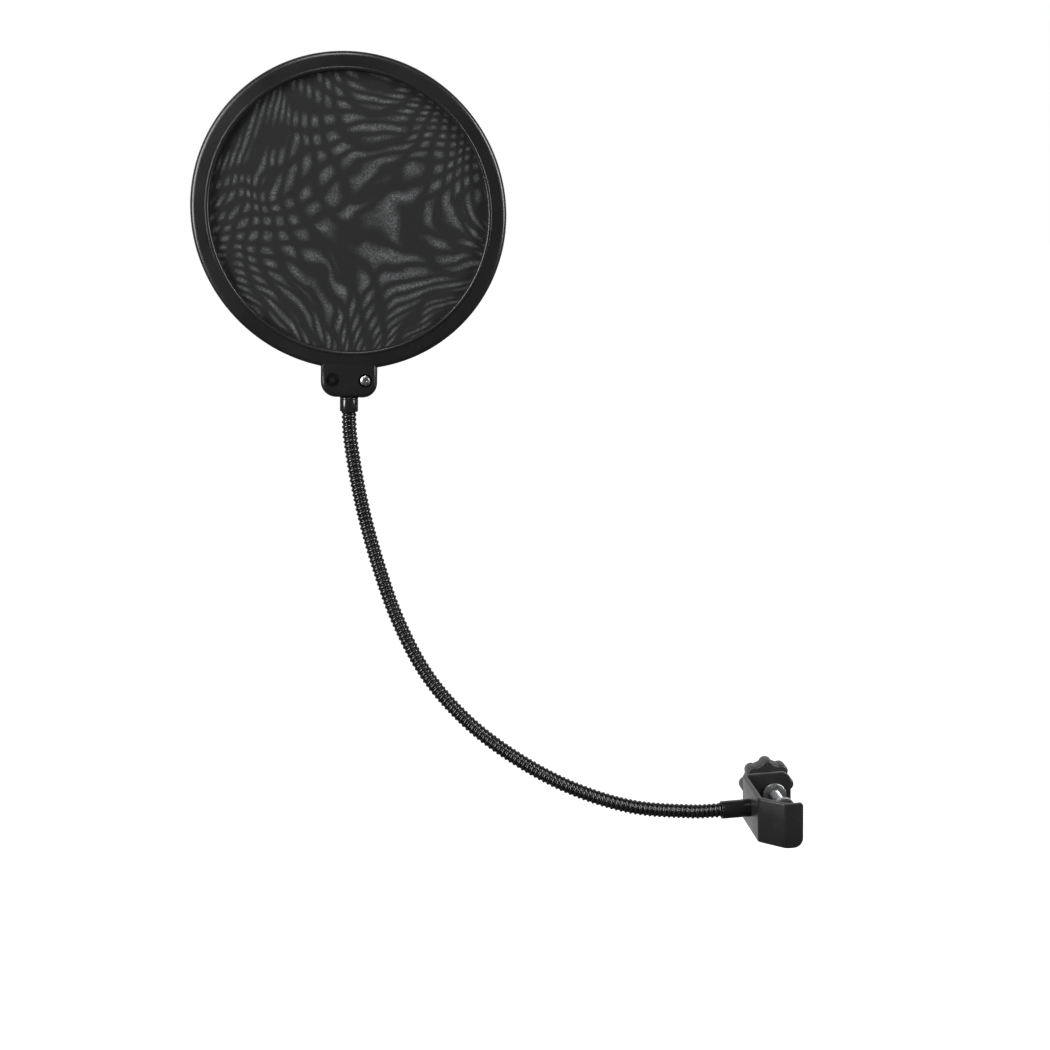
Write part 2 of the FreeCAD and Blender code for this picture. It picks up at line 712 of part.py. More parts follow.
build_clamp_frame()
build_thread_bush()
build_pressure_pad()
build_clamp_screw()
build_clamp_knob()
build_lower_ferrule()
build_neck()
build_upper_ferrule()
build_hoop("front_hoop", True)
build_hoop("rear_hoop", False)
build_screens()
build_bracket_screws()
doc.recompute()
check_document()
write_parts()
for piece in nodes:
    print(f"{piece.Label:22s} solids {len(piece.Shape.Solids)}  volume {piece.Shape.Volume:9.1f}")
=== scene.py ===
"""Pop filter: a screened hoop on a gooseneck with a screw clamp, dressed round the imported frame.

Metres, +Z up the stand tube, +Y along the thumb screw, the hoop's front face towards -Y.
"""
import json
import logging
import math
from abc import ABC, abstractmethod
from dataclasses import dataclass, field
from enum import Enum
from typing import Iterable, Sequence

import bmesh
import bpy
from mathutils import Matrix, Vector
from mathutils.geometry import interpolate_bezier

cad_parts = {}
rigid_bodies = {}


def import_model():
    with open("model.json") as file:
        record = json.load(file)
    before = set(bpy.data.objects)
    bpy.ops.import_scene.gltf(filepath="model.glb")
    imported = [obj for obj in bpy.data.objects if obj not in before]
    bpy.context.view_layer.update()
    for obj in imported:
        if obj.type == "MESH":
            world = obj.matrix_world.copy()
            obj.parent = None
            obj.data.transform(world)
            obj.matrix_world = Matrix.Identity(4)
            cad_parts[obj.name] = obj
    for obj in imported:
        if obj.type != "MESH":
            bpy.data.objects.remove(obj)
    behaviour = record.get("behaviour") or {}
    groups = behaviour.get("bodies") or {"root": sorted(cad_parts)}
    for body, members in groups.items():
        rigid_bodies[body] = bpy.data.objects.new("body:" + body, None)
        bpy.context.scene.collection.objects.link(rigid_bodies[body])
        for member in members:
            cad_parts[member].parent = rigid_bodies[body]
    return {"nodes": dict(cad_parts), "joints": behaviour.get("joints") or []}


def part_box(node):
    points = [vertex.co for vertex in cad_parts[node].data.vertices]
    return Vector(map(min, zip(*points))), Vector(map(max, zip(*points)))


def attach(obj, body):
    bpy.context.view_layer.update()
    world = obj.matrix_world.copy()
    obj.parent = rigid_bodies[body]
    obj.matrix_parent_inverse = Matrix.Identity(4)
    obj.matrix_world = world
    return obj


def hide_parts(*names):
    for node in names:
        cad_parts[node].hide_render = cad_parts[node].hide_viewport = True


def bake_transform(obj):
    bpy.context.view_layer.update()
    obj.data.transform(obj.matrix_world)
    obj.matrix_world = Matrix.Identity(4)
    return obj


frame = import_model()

MM = 0.001
FULL_TURN = 2 * math.pi
log = logging.getLogger("pop_filter")


class Slot(Enum):
    """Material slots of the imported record."""

    CLAMP_PAINT = "clamp_black_paint"
    BLACK_CHROME = "black_chrome"
    SPRING_STEEL = "spring_steel"
    ZINC_STEEL = "zinc_steel"
    SCREW_STEEL = "screw_steel"
    BLACK_PLASTIC = "black_plastic"
    BLACK_RUBBER = "black_rubber"
    NYLON_MESH = "nylon_mesh"


class Cut(Enum):
    """Ways to combine two closed shapes."""

    JOIN = "UNION"
    REMOVE = "DIFFERENCE"


# ---------------------------------------------------------------- finishes


class Wiring:
    """Node tree of one material, with short calls for the nodes that the finishes share."""

    def __init__(self, name: str) -> None:
        """Starts a material with its shader and its object coordinates.

        Args:
            name: the material's name.
        """
        self.material = bpy.data.materials.new(name)
        self.material.use_nodes = True
        self.tree = self.material.node_tree
        self.shader = self.tree.nodes["Principled BSDF"]
        self.place = self.node("ShaderNodeTexCoord").outputs["Object"]

    def node(self, kind: str, **settings: object) -> bpy.types.Node:
        """Adds a node and sets its own properties."""
        made = self.tree.nodes.new(kind)
        for name, value in settings.items():
            setattr(made, name, value)
        return made

    def feed(self, socket: bpy.types.NodeSocket, value: object) -> None:
        """Links a socket to an output, or sets it to a plain value."""
        if isinstance(value, bpy.types.NodeSocket):
            self.tree.links.new(value, socket)
        else:
            socket.default_value = value

    def surface(self, **values: object) -> None:
        """Feeds the shader's sockets, named with underscores for spaces."""
        for name, value in values.items():
            self.feed(self.shader.inputs[name.replace("_", " ")], value)

    def math(self, operation: str, first: object, second: object = 0.0) -> bpy.types.NodeSocket:
        """Gives the result of one calculation on one or two values."""
        made = self.node("ShaderNodeMath", operation=operation)
        self.feed(made.inputs[0], first)
        self.feed(made.inputs[1], second)
        return made.outputs[0]

    def noise(self, scale: float, detail: float = 2.0, rough: float = 0.5,
              where: object = None, distortion: float = 0.0) -> bpy.types.NodeSocket:
        """Gives cloudy noise from 0 to 1.

        Args:
            scale: patches in a metre.
            detail: number of finer layers.
            rough: weight of the finer layers.
            where: coordinates to read, or None for the object's own.
            distortion: how far the patches are drawn out.

        Returns:
            The noise value.
        """
        made = self.node("ShaderNodeTexNoise")
        self.feed(made.inputs["Vector"], self.place if where is None else where)
        for name, value in (("Scale", scale), ("Detail", detail), ("Roughness", rough),
                            ("Distortion", distortion)):
            made.inputs[name].default_value = value
        return made.outputs["Fac"]

    def cells(self, scale: float, where: object = None) -> bpy.types.NodeSocket:
        """Gives the distance to the nearest of many scattered points."""
        made = self.node("ShaderNodeTexVoronoi")
        self.feed(made.inputs["Vector"], self.place if where is None else where)
        made.inputs["Scale"].default_value = scale
        return made.outputs["Distance"]

    def span(self, value: object, start: float, end: float, low: float = 0.0,
             high: float = 1.0) -> bpy.types.NodeSocket:
        """Spreads a value that runs from start to end over the range low to high."""
        made = self.node("ShaderNodeMapRange", clamp=True)
        for socket, number in zip(made.inputs, (value, start, end, low, high)):
            self.feed(socket, number)
        return made.outputs[0]

    def blend(self, share: object, first: object, second: object) -> bpy.types.NodeSocket:
        """Mixes two colours."""
        made = self.node("ShaderNodeMix", data_type="RGBA")
        self.feed(made.inputs[0], share)
        self.feed(made.inputs[6], first)
        self.feed(made.inputs[7], second)
        return made.outputs[2]

    def relief(self, height: object, depth: float, strength: float = 1.0,
               over: object = None) -> bpy.types.NodeSocket:
        """Turns a height into a bumped normal.

        Args:
            height: value from 0 to 1.
            depth: what a height of 1 stands for, in metres.
            strength: share of the relief that is used.
            over: normal to lay the relief on, or None.

        Returns:
            The bumped normal.
        """
        made = self.node("ShaderNodeBump")
        self.feed(made.inputs["Height"], height)
        made.inputs["Distance"].default_value = depth
        made.inputs["Strength"].default_value = strength
        if over is not None:
            self.feed(made.inputs["Normal"], over)
        return made.outputs["Normal"]

    def worn_edges(self, start: float, end: float, patches: float) -> bpy.types.NodeSocket:
        """Gives 1 on worn outer edges, broken up by noise."""
        edge = self.span(self.node("ShaderNodeNewGeometry").outputs["Pointiness"], start, end)
        return self.math("MULTIPLY", edge, self.span(self.noise(patches, 4.0, 0.7), 0.42, 0.62))


def grey(level: float, warmth: float = 0.0) -> tuple[float, float, float, float]:
    """Gives a grey with a slight warm or cool tint."""
    return (level * (1 + warmth), level, level * (1 - warmth), 1.0)


@dataclass(frozen=True)
class Finish(ABC):
    """One surface finish, and the record's slot that it belongs to, if any."""

    name: str
    slot: Slot | None

    @abstractmethod
    def wire(self, wiring: Wiring) -> None:
        """Lays the finish's nodes."""

    def material(self) -> bpy.types.Material:
        """Gives the finish's material, made once."""
        found = bpy.data.materials.get(self.name)
        if found is None:
            wiring = Wiring(self.name)
            self.wire(wiring)
            found = wiring.material
        return found


@dataclass(frozen=True)
class MouldedPlastic(Finish):
    """Textured black ABS with a fine spark-eroded grain, dust, and worn edges lightened partly for
    wear and partly as a painted highlight.
    """

    shade: float = 0.0065
    grain: float = 1900.0
    grain_depth: float = 0.00006
    gloss: float = 0.30

    def wire(self, wiring: Wiring) -> None:
        """Lays the grain, the cloudy shade, and the worn edges, which are lightened partly for wear
        and partly as a painted highlight.
        """
        grain = wiring.noise(self.grain, 3.0, 0.6)
        clouds = wiring.noise(26.0, 3.0, 0.55)
        dust = wiring.span(wiring.cells(420.0), 0.10, 0.05)
        dust = wiring.math("MULTIPLY", dust, wiring.span(wiring.noise(90.0), 0.5, 0.7, 0.0, 0.5))
        # mask of convex edges, used for edge wear and for a painted highlight
        edge_wear_and_highlight = wiring.worn_edges(0.52, 0.60, 160.0)
        shade = wiring.blend(clouds, grey(self.shade * 0.78, -0.02), grey(self.shade * 1.25))
        shade = wiring.blend(wiring.span(grain, 0.35, 0.75, 0.0, 0.45), shade,
                             grey(self.shade * 1.9))
        shade = wiring.blend(dust, shade, grey(0.09, 0.04))
        # painted highlight: convex edges and the lip bead are lightened, partly as edge wear and
        # partly as a painted highlight line
        shade = wiring.blend(wiring.math("MULTIPLY", edge_wear_and_highlight, 0.6), shade, grey(0.055, 0.02))
        rough = wiring.span(clouds, 0.3, 0.7, self.gloss - 0.05, self.gloss + 0.07)
        rough = wiring.math("SUBTRACT", rough, wiring.math("MULTIPLY", edge_wear_and_highlight, 0.14))
        wiring.surface(Base_Color=shade, Roughness=rough, Specular_IOR_Level=0.42,
                       Normal=wiring.relief(grain, self.grain_depth, 0.55))


@dataclass(frozen=True)
class BlackChrome(Finish):
    """Blackened plating on steel, glossy, with smears and hair scratches."""

    shade: float = 0.012
    gloss: float = 0.13
    metal: float = 0.35

    def wire(self, wiring: Wiring) -> None:
        """Lays the smears, the scratches and the worn crests."""
        smears = wiring.noise(70.0, 4.0, 0.6, distortion=0.6)
        specks = wiring.noise(2600.0, 2.0)
        worn = wiring.worn_edges(0.56, 0.70, 240.0)
        shade = wiring.blend(smears, grey(self.shade * 0.7, -0.04), grey(self.shade * 1.35, 0.02))
        shade = wiring.blend(wiring.math("MULTIPLY", worn, 0.35), shade, grey(0.12, 0.03))
        rough = wiring.math("ADD", wiring.span(smears, 0.3, 0.75, self.gloss, self.gloss + 0.08),
                            wiring.span(specks, 0.4, 0.8, 0.0, 0.06))
        wiring.surface(Base_Color=shade, Roughness=rough, Metallic=self.metal,
                       Coat_Weight=0.25, Coat_Roughness=0.12,
                       Normal=wiring.relief(specks, 0.00001, 0.4))


@dataclass(frozen=True)
class StovedPaint(Finish):
    """Satin black paint baked on steel strip: faint orange peel, chipped at its edges."""

    shade: float = 0.012
    gloss: float = 0.28

    def wire(self, wiring: Wiring) -> None:
        """Lays the orange peel, the dust and the chips down to steel."""
        peel = wiring.noise(620.0, 2.0, 0.45)
        fine = wiring.noise(3200.0, 2.0)
        clouds = wiring.noise(55.0, 4.0, 0.6)
        chipped = wiring.math("GREATER_THAN", wiring.worn_edges(0.54, 0.66, 620.0), 0.62)
        scuffs = wiring.span(wiring.noise(240.0, 5.0, 0.75, distortion=1.4), 0.62, 0.74)
        shade = wiring.blend(clouds, grey(self.shade * 0.8), grey(self.shade * 1.3, 0.02))
        shade = wiring.blend(wiring.math("MULTIPLY", scuffs, 0.30), shade, grey(0.06, 0.03))
        shade = wiring.blend(chipped, shade, grey(0.32, 0.05))
        rough = wiring.math("ADD", wiring.span(clouds, 0.3, 0.7, self.gloss, self.gloss + 0.1),
                            wiring.math("MULTIPLY", scuffs, 0.15))
        height = wiring.math("ADD", wiring.math("MULTIPLY", peel, 0.8),
                             wiring.math("MULTIPLY", fine, 0.2))
        height = wiring.math("SUBTRACT", height, wiring.math("MULTIPLY", chipped, 0.6))
        wiring.surface(Base_Color=shade, Roughness=rough, Metallic=chipped,
                       Specular_IOR_Level=0.4,
                       Normal=wiring.relief(height, 0.00006, 0.5))


@dataclass(frozen=True)
class PlatedSteel(Finish):
    """Zinc plated or bright steel with turning marks, stains and a grey bloom."""

    shade: float = 0.48
    warmth: float = 0.05
    gloss: float = 0.26

    def wire(self, wiring: Wiring) -> None:
        """Lays the turning marks and the stains."""
        stains = wiring.noise(260.0, 4.0, 0.65, distortion=0.8)
        marks = wiring.noise(2400.0, 3.0, 0.7)
        shade = wiring.blend(stains, grey(self.shade * 0.6, self.warmth),
                             grey(self.shade * 1.15, -self.warmth))
        rough = wiring.math("ADD", wiring.span(stains, 0.35, 0.7, self.gloss, self.gloss + 0.2),
                            wiring.span(marks, 0.4, 0.8, 0.0, 0.1))
        wiring.surface(Base_Color=shade, Roughness=rough, Metallic=1.0,
                       Normal=wiring.relief(marks, 0.000015, 0.5))


@dataclass(frozen=True)
class SoftRubber(Finish):
    """Dull black rubber with a chalky bloom."""

    shade: float = 0.02

    def wire(self, wiring: Wiring) -> None:
        """Lays the bloom and the fine pits."""
        bloom = wiring.noise(300.0, 5.0, 0.7)
        pits = wiring.cells(1500.0)
        shade = wiring.blend(wiring.span(bloom, 0.35, 0.75), grey(self.shade * 0.7),
                             grey(self.shade * 2.2, 0.02))
        wiring.surface(Base_Color=shade, Roughness=wiring.span(bloom, 0.3, 0.7, 0.66, 0.85),
                       Normal=wiring.relief(pits, 0.00005, 0.6))


@dataclass(frozen=True)
class Slip:
    """How far the threads of one layer run ahead of the other's, as an angle.

    drift holds (factor, power across, power up) for millimetres from the centre; the patches
    are a metre's count of loose areas, and reaches how far each kind shifts the angle.
    """

    start: float
    drift: tuple[tuple[float, int, int], ...]
    patches: tuple[float, ...] = (29.0, 62.0)
    reaches: tuple[float, ...] = (3.3, 1.7)


@dataclass(frozen=True)
class StretchedNylon(Finish):
    """Black nylon weave whose two layers beat against each other in soft grey blotches."""

    threads: float = 2900.0
    shade: float = 0.0045
    beat_shade: float = 0.085
    warp_slip: Slip = Slip(0.3, ((0.22, 1, 0), (0.26, 0, 1), (-0.0098, 2, 0), (-0.0002, 2, 1),
                                 (0.00012, 1, 2)))
    weft_slip: Slip = Slip(0.2, ((-0.28, 1, 0), (0.34, 0, 1), (0.0072, 0, 2), (0.00035, 1, 2),
                                 (-0.0105, 1, 1)))

    def wire(self, wiring: Wiring) -> None:
        """Lays the weave, the beat of the two layers and the loose speckle."""
        across, up = self.local_millimetres(wiring)
        beat = self.beat(wiring, across, up)
        speckle = wiring.span(wiring.noise(1250.0, 3.0, 0.75), 0.41, 0.64, 0.25, 1.35)
        lint = wiring.span(wiring.noise(150.0, 4.0, 0.65), 0.35, 0.7, 0.55, 1.1)
        glow = wiring.math("MULTIPLY", wiring.math("MULTIPLY", beat, speckle), lint)
        shade = wiring.blend(glow, grey(self.shade, -0.03), grey(self.beat_shade, -0.03))
        weave = self.weave(wiring, across, up)
        wiring.surface(Base_Color=shade, Roughness=0.72, Sheen_Weight=0.05,
                       Sheen_Roughness=0.5, Specular_IOR_Level=0.22,
                       Normal=wiring.relief(weave, 0.00009, 0.5))

    @staticmethod
    def local_millimetres(wiring: Wiring) -> tuple[bpy.types.NodeSocket, bpy.types.NodeSocket]:
        """Gives the screen's own two coordinates in millimetres from its centre."""
        layer = wiring.node("ShaderNodeUVMap", uv_map="weave")
        split = wiring.node("ShaderNodeSeparateXYZ")
        wiring.feed(split.inputs[0], layer.outputs[0])
        return tuple(wiring.math("MULTIPLY", wiring.math("SUBTRACT", split.outputs[i], 0.5), 200.0)
                     for i in (0, 1))

    def weave(self, wiring: Wiring, across: bpy.types.NodeSocket,
              up: bpy.types.NodeSocket) -> bpy.types.NodeSocket:
        """Gives the height of the crossed threads."""
        turns = FULL_TURN * self.threads * MM
        warp, weft = (wiring.math("SINE", wiring.math("MULTIPLY", way, turns))
                      for way in (across, up))
        return wiring.span(wiring.math("MULTIPLY", warp, weft), -1.0, 1.0)

    def beat(self, wiring: Wiring, across: bpy.types.NodeSocket,
             up: bpy.types.NodeSocket) -> bpy.types.NodeSocket:
        """Gives the brightness of the beat between the two layers of threads."""
        phases = []
        for slip in (self.warp_slip, self.weft_slip):
            waves = [wiring.noise(patches, 1.0, 0.45, distortion=0.2) for patches in slip.patches]
            phase = slip.start
            for cloud, reach in zip(waves, slip.reaches):
                phase = wiring.math("ADD", phase, wiring.span(cloud, 0.25, 0.75, -reach, reach))
            for factor, side_power, up_power in slip.drift:
                part = factor
                for way in [across] * side_power + [up] * up_power:
                    part = wiring.math("MULTIPLY", part, way)
                phase = wiring.math("ADD", phase, part)
            phases.append(phase)
        stripes = [wiring.span(wiring.math("COSINE", phase), -0.75, 1.0) for phase in phases]
        return wiring.math("POWER", wiring.math("MULTIPLY", *stripes), 1.05)


@dataclass(frozen=True)
class PaleSweep(Finish):
    """White studio sweep with a barely mottled surface."""

    def wire(self, wiring: Wiring) -> None:
        """Lays the mottling."""
        mottle = wiring.noise(3.0, 4.0)
        wiring.surface(Base_Color=wiring.blend(mottle, grey(0.52), grey(0.56)), Roughness=0.9,
                       Specular_IOR_Level=0.1, Emission_Color=grey(1.0),
                       Emission_Strength=1.0)


HOOP_PLASTIC = MouldedPlastic("moulded_hoop_plastic", Slot.BLACK_PLASTIC)
KNOB_PLASTIC = MouldedPlastic("knob_plastic", Slot.BLACK_PLASTIC, shade=0.013, gloss=0.38,
                              grain=1500.0)
NECK_PLATING = BlackChrome("neck_plating", Slot.BLACK_CHROME)
CORE_PLATING = BlackChrome("core_plating", Slot.SPRING_STEEL, shade=0.014, gloss=0.12)
CLAMP_PAINT = StovedPaint("clamp_paint", Slot.CLAMP_PAINT)
ZINC_PLATE = PlatedSteel("zinc_plate", Slot.ZINC_STEEL)
SCREW_PLATE = PlatedSteel("screw_plate", Slot.SCREW_STEEL, shade=0.62, warmth=0.03, gloss=0.16)
PAD_RUBBER = SoftRubber("pad_rubber", Slot.BLACK_RUBBER)
SCREEN_NYLON = StretchedNylon("screen_nylon", Slot.NYLON_MESH)
STUDIO_SWEEP = PaleSweep("studio_sweep", None)


# ---------------------------------------------------------------- shapes


@dataclass(frozen=True)
class Corner:
    """Corner of a section in millimetres, with the radius that rounds it."""

    across: float
    along: float
    rounding: float = 0.0


def lay_section(mesh: bmesh.types.BMesh, corners: Sequence[Corner], segments: int,
                flat: bool = False) -> None:
    """Lays a closed section as one face, and rounds its corners.

    Args:
        mesh: mesh to add it to.
        corners: the section's corners in order.
        segments: segments in each rounding.
        flat: whether it lies in the XY plane instead of the XZ plane.
    """
    points = [Vector((c.across, c.along, 0) if flat else (c.across, 0, c.along)) * MM
              for c in corners]
    verts = [mesh.verts.new(point) for point in points]
    mesh.faces.new(verts)
    for index, corner in enumerate(corners):
        if corner.rounding:
            here, before = points[index], points[index - 1]
            after = points[(index + 1) % len(points)]
            half = (before - here).angle(after - here) / 2
            bmesh.ops.bevel(mesh, geom=[verts[index]], affect="VERTICES", profile=0.5,
                            offset=corner.rounding * MM / math.tan(half), offset_type="OFFSET",
                            segments=segments, material=-1, clamp_overlap=True)


def tidy_shell(mesh: bmesh.types.BMesh) -> bmesh.types.BMesh:
    """Merges doubled points and turns every face outwards."""
    bmesh.ops.remove_doubles(mesh, verts=mesh.verts[:], dist=0.0005 * MM)
    bmesh.ops.recalc_face_normals(mesh, faces=mesh.faces[:])
    return mesh


def turned(corners: Sequence[Corner], steps: int = 96, segments: int = 4) -> bmesh.types.BMesh:
    """Turns a closed section about the Z axis.

    Args:
        corners: the section, radius across and height along.
        steps: facets in the full turn.
        segments: segments in each rounding.

    Returns:
        The closed solid.
    """
    mesh = bmesh.new()
    lay_section(mesh, corners, segments)
    on_axis = [edge for edge in mesh.edges if all(abs(v.co.x) < MM * MM for v in edge.verts)]
    bmesh.ops.delete(mesh, geom=mesh.faces[:], context="FACES_ONLY")
    bmesh.ops.delete(mesh, geom=on_axis, context="EDGES")
    bmesh.ops.spin(mesh, geom=mesh.verts[:] + mesh.edges[:], cent=(0, 0, 0), axis=(0, 0, 1),
                   dvec=(0, 0, 0), angle=FULL_TURN, steps=steps, use_merge=True,
                   use_normal_flip=False, use_duplicate=False)
    return tidy_shell(mesh)


def draw_up(mesh: bmesh.types.BMesh, low: float, high: float) -> list[bmesh.types.BMVert]:
    """Draws a flat outline up into a slab.

    Args:
        mesh: the outline as one face in the XY plane.
        low: height of the slab's foot in millimetres.
        high: height of its top in millimetres.

    Returns:
        The points of the top.
    """
    grown = bmesh.ops.extrude_face_region(mesh, geom=mesh.faces[:])["geom"]
    top = [item for item in grown if isinstance(item, bmesh.types.BMVert)]
    bmesh.ops.translate(mesh, verts=mesh.verts[:], vec=(0, 0, low * MM))
    bmesh.ops.translate(mesh, verts=top, vec=(0, 0, (high - low) * MM))
    bmesh.ops.recalc_face_normals(mesh, faces=mesh.faces[:])
    return top


def raised(corners: Sequence[Corner], low: float, high: float, rim: float = 0.0,
           segments: int = 4) -> bmesh.types.BMesh:
    """Raises a flat outline into a slab with rounded outer edges.

    Args:
        corners: the outline in the XY plane.
        low: height of its foot in millimetres.
        high: height of its top in millimetres.
        rim: rounding of the top's edges in millimetres.
        segments: segments in each rounding.

    Returns:
        The closed solid.
    """
    mesh = bmesh.new()
    lay_section(mesh, corners, segments * 2, flat=True)
    top = draw_up(mesh, low, high)
    if rim:
        edges = [edge for edge in mesh.edges if all(vert in top for vert in edge.verts)]
        soften(mesh, edges, rim, segments)
    return mesh


def soften(mesh: bmesh.types.BMesh, edges: Iterable[bmesh.types.BMEdge], width: float,
           segments: int = 3) -> None:
    """Rounds edges by a width in millimetres."""
    bmesh.ops.bevel(mesh, geom=list(edges), affect="EDGES", offset=width * MM,
                    offset_type="OFFSET", segments=segments, profile=0.5, material=-1,
                    clamp_overlap=True)


def sharp_edges(mesh: bmesh.types.BMesh, degrees: float = 50.0) -> list[bmesh.types.BMEdge]:
    """Finds the edges whose faces meet at more than an angle."""
    limit = math.radians(degrees)
    return [edge for edge in mesh.edges if len(edge.link_faces) == 2
            and edge.calc_face_angle(0.0) > limit]


def rod(radius: float, low: float, high: float, steps: int = 48) -> bmesh.types.BMesh:
    """Makes a plain round rod along Z, sizes in millimetres."""
    return turned([Corner(0, low), Corner(radius, low), Corner(radius, high), Corner(0, high)],
                  steps)


def block(width: float, depth: float, height: float) -> bmesh.types.BMesh:
    """Makes a block round the origin, sizes in millimetres."""
    mesh = bmesh.new()
    bmesh.ops.create_cube(mesh, size=1.0)
    bmesh.ops.scale(mesh, verts=mesh.verts[:], vec=Vector((width, depth, height)) * MM)
    return mesh


def shifted(mesh: bmesh.types.BMesh, across: float = 0.0, along: float = 0.0, up: float = 0.0,
            turn: float = 0.0) -> bmesh.types.BMesh:
    """Turns a shape about Z by degrees, and then moves it by millimetres."""
    bmesh.ops.rotate(mesh, verts=mesh.verts[:], cent=(0, 0, 0),
                     matrix=Matrix.Rotation(math.radians(turn), 3, "Z"))
    bmesh.ops.translate(mesh, verts=mesh.verts[:], vec=Vector((across, along, up)) * MM)
    return mesh


def gathered(meshes: Iterable[bmesh.types.BMesh]) -> bmesh.types.BMesh:
    """Puts several shapes into one mesh, and frees them."""
    whole = bmesh.new()
    for mesh in meshes:
        data = bpy.data.meshes.new("part")
        mesh.to_mesh(data)
        mesh.free()
        whole.from_mesh(data)
        bpy.data.meshes.remove(data)
    return whole


def combined(first: bmesh.types.BMesh, second: bmesh.types.BMesh,
             way: Cut) -> bmesh.types.BMesh:
    """Joins a closed shape to another, or takes the second away from the first.

    Args:
        first: the shape that is kept.
        second: the shape that is joined or taken away.
        way: which of the two.

    Returns:
        The new shape. Both old ones are freed.
    """
    objects = []
    for mesh in (first, second):
        data = bpy.data.meshes.new("shape")
        mesh.to_mesh(data)
        mesh.free()
        item = bpy.data.objects.new("shape", data)
        bpy.context.scene.collection.objects.link(item)
        objects.append(item)
    modifier = objects[0].modifiers.new("cut", "BOOLEAN")
    modifier.operation = way.value
    modifier.solver = "EXACT"
    modifier.object = objects[1]
    graph = bpy.context.evaluated_depsgraph_get()
    result = bpy.data.meshes.new_from_object(objects[0].evaluated_get(graph))
    made = bmesh.new()
    made.from_mesh(result)
    bpy.data.meshes.remove(result)
    for item in objects:
        data = item.data
        bpy.data.objects.remove(item)
        bpy.data.meshes.remove(data)
    bmesh.ops.remove_doubles(made, verts=made.verts[:], dist=0.0005 * MM)
    return made


def axes_at(origin: Vector, forward: Vector, side: Vector) -> Matrix:
    """Gives the placement whose Z runs forward and whose X is nearest to side."""
    z = forward.normalized()
    x = (side - z * side.dot(z)).normalized()
    return Matrix.LocRotScale(origin, Matrix((x, z.cross(x), z)).transposed(), None)


def crossed(head: bmesh.types.BMesh, slot_size: tuple[float, float, float],
            taper: tuple[float, float, int], spot: tuple[float, float, float],
            turn: float) -> bmesh.types.BMesh:
    """Cuts a cross recess in a screw's head.

    Args:
        head: the head, along Z; it is freed.
        slot_size: length, width and depth of one slot's block in millimetres.
        taper: share of the length and width left at the slot's floor, and the Z side it is on.
        spot: centre of both blocks in millimetres.
        turn: angle of the first slot in degrees.

    Returns:
        The head with its recess.
    """
    for arm in (0.0, 90.0):
        slot = block(*slot_size)
        narrow = [vert for vert in slot.verts if vert.co.z * taper[2] > 0]
        bmesh.ops.scale(slot, verts=narrow, vec=(*taper[:2], 1))
        head = combined(head, shifted(slot, *spot, arm + turn), Cut.REMOVE)
    return head


class SubAssembly(ABC):
    """Group of pieces that are built and dressed together."""

    @abstractmethod
    def build(self) -> None:
        """Builds every piece of the group."""

    @staticmethod
    def piece(name: str, mesh: bmesh.types.BMesh, finish: Finish, place: Matrix,
              stands_for: Sequence[str], crease: float = 38.0) -> bpy.types.Object:
        """Makes a dressed object of a mesh.

        Args:
            name: the piece's name.
            mesh: its shape in its own axes; it is freed.
            finish: its finish.
            place: where its own axes are.
            stands_for: the CAD nodes that it replaces.
            crease: angle in degrees past which an edge shows sharp.

        Returns:
            The object at the origin, with its place in its mesh.
        """
        mesh.transform(place)
        data = bpy.data.meshes.new(name)
        mesh.to_mesh(data)
        mesh.free()
        data.shade_smooth()
        data.set_sharp_from_angle(angle=math.radians(crease))
        data.materials.append(finish.material())
        made = bpy.data.objects.new(name, data)
        bpy.context.scene.collection.objects.link(made)
        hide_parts(*stands_for)
        log.info("%s: %d faces", name, len(data.polygons))
        return made

    @staticmethod
    def dress(node: str, finish: Finish) -> None:
        """Gives a CAD node that stays its finish."""
        data = frame["nodes"][node].data
        data.materials.clear()
        data.materials.append(finish.material())
        log.info("%s: dressed", node)


def middle(node: str) -> Vector:
    """Gives the centre of a CAD node's box."""
    low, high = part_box(node)
    return (low + high) / 2


def joint(name: str) -> dict:
    """Gives a joint of the frame by its name."""
    return next(item for item in frame["joints"] if item["name"] == name)


# ---------------------------------------------------------------- gooseneck


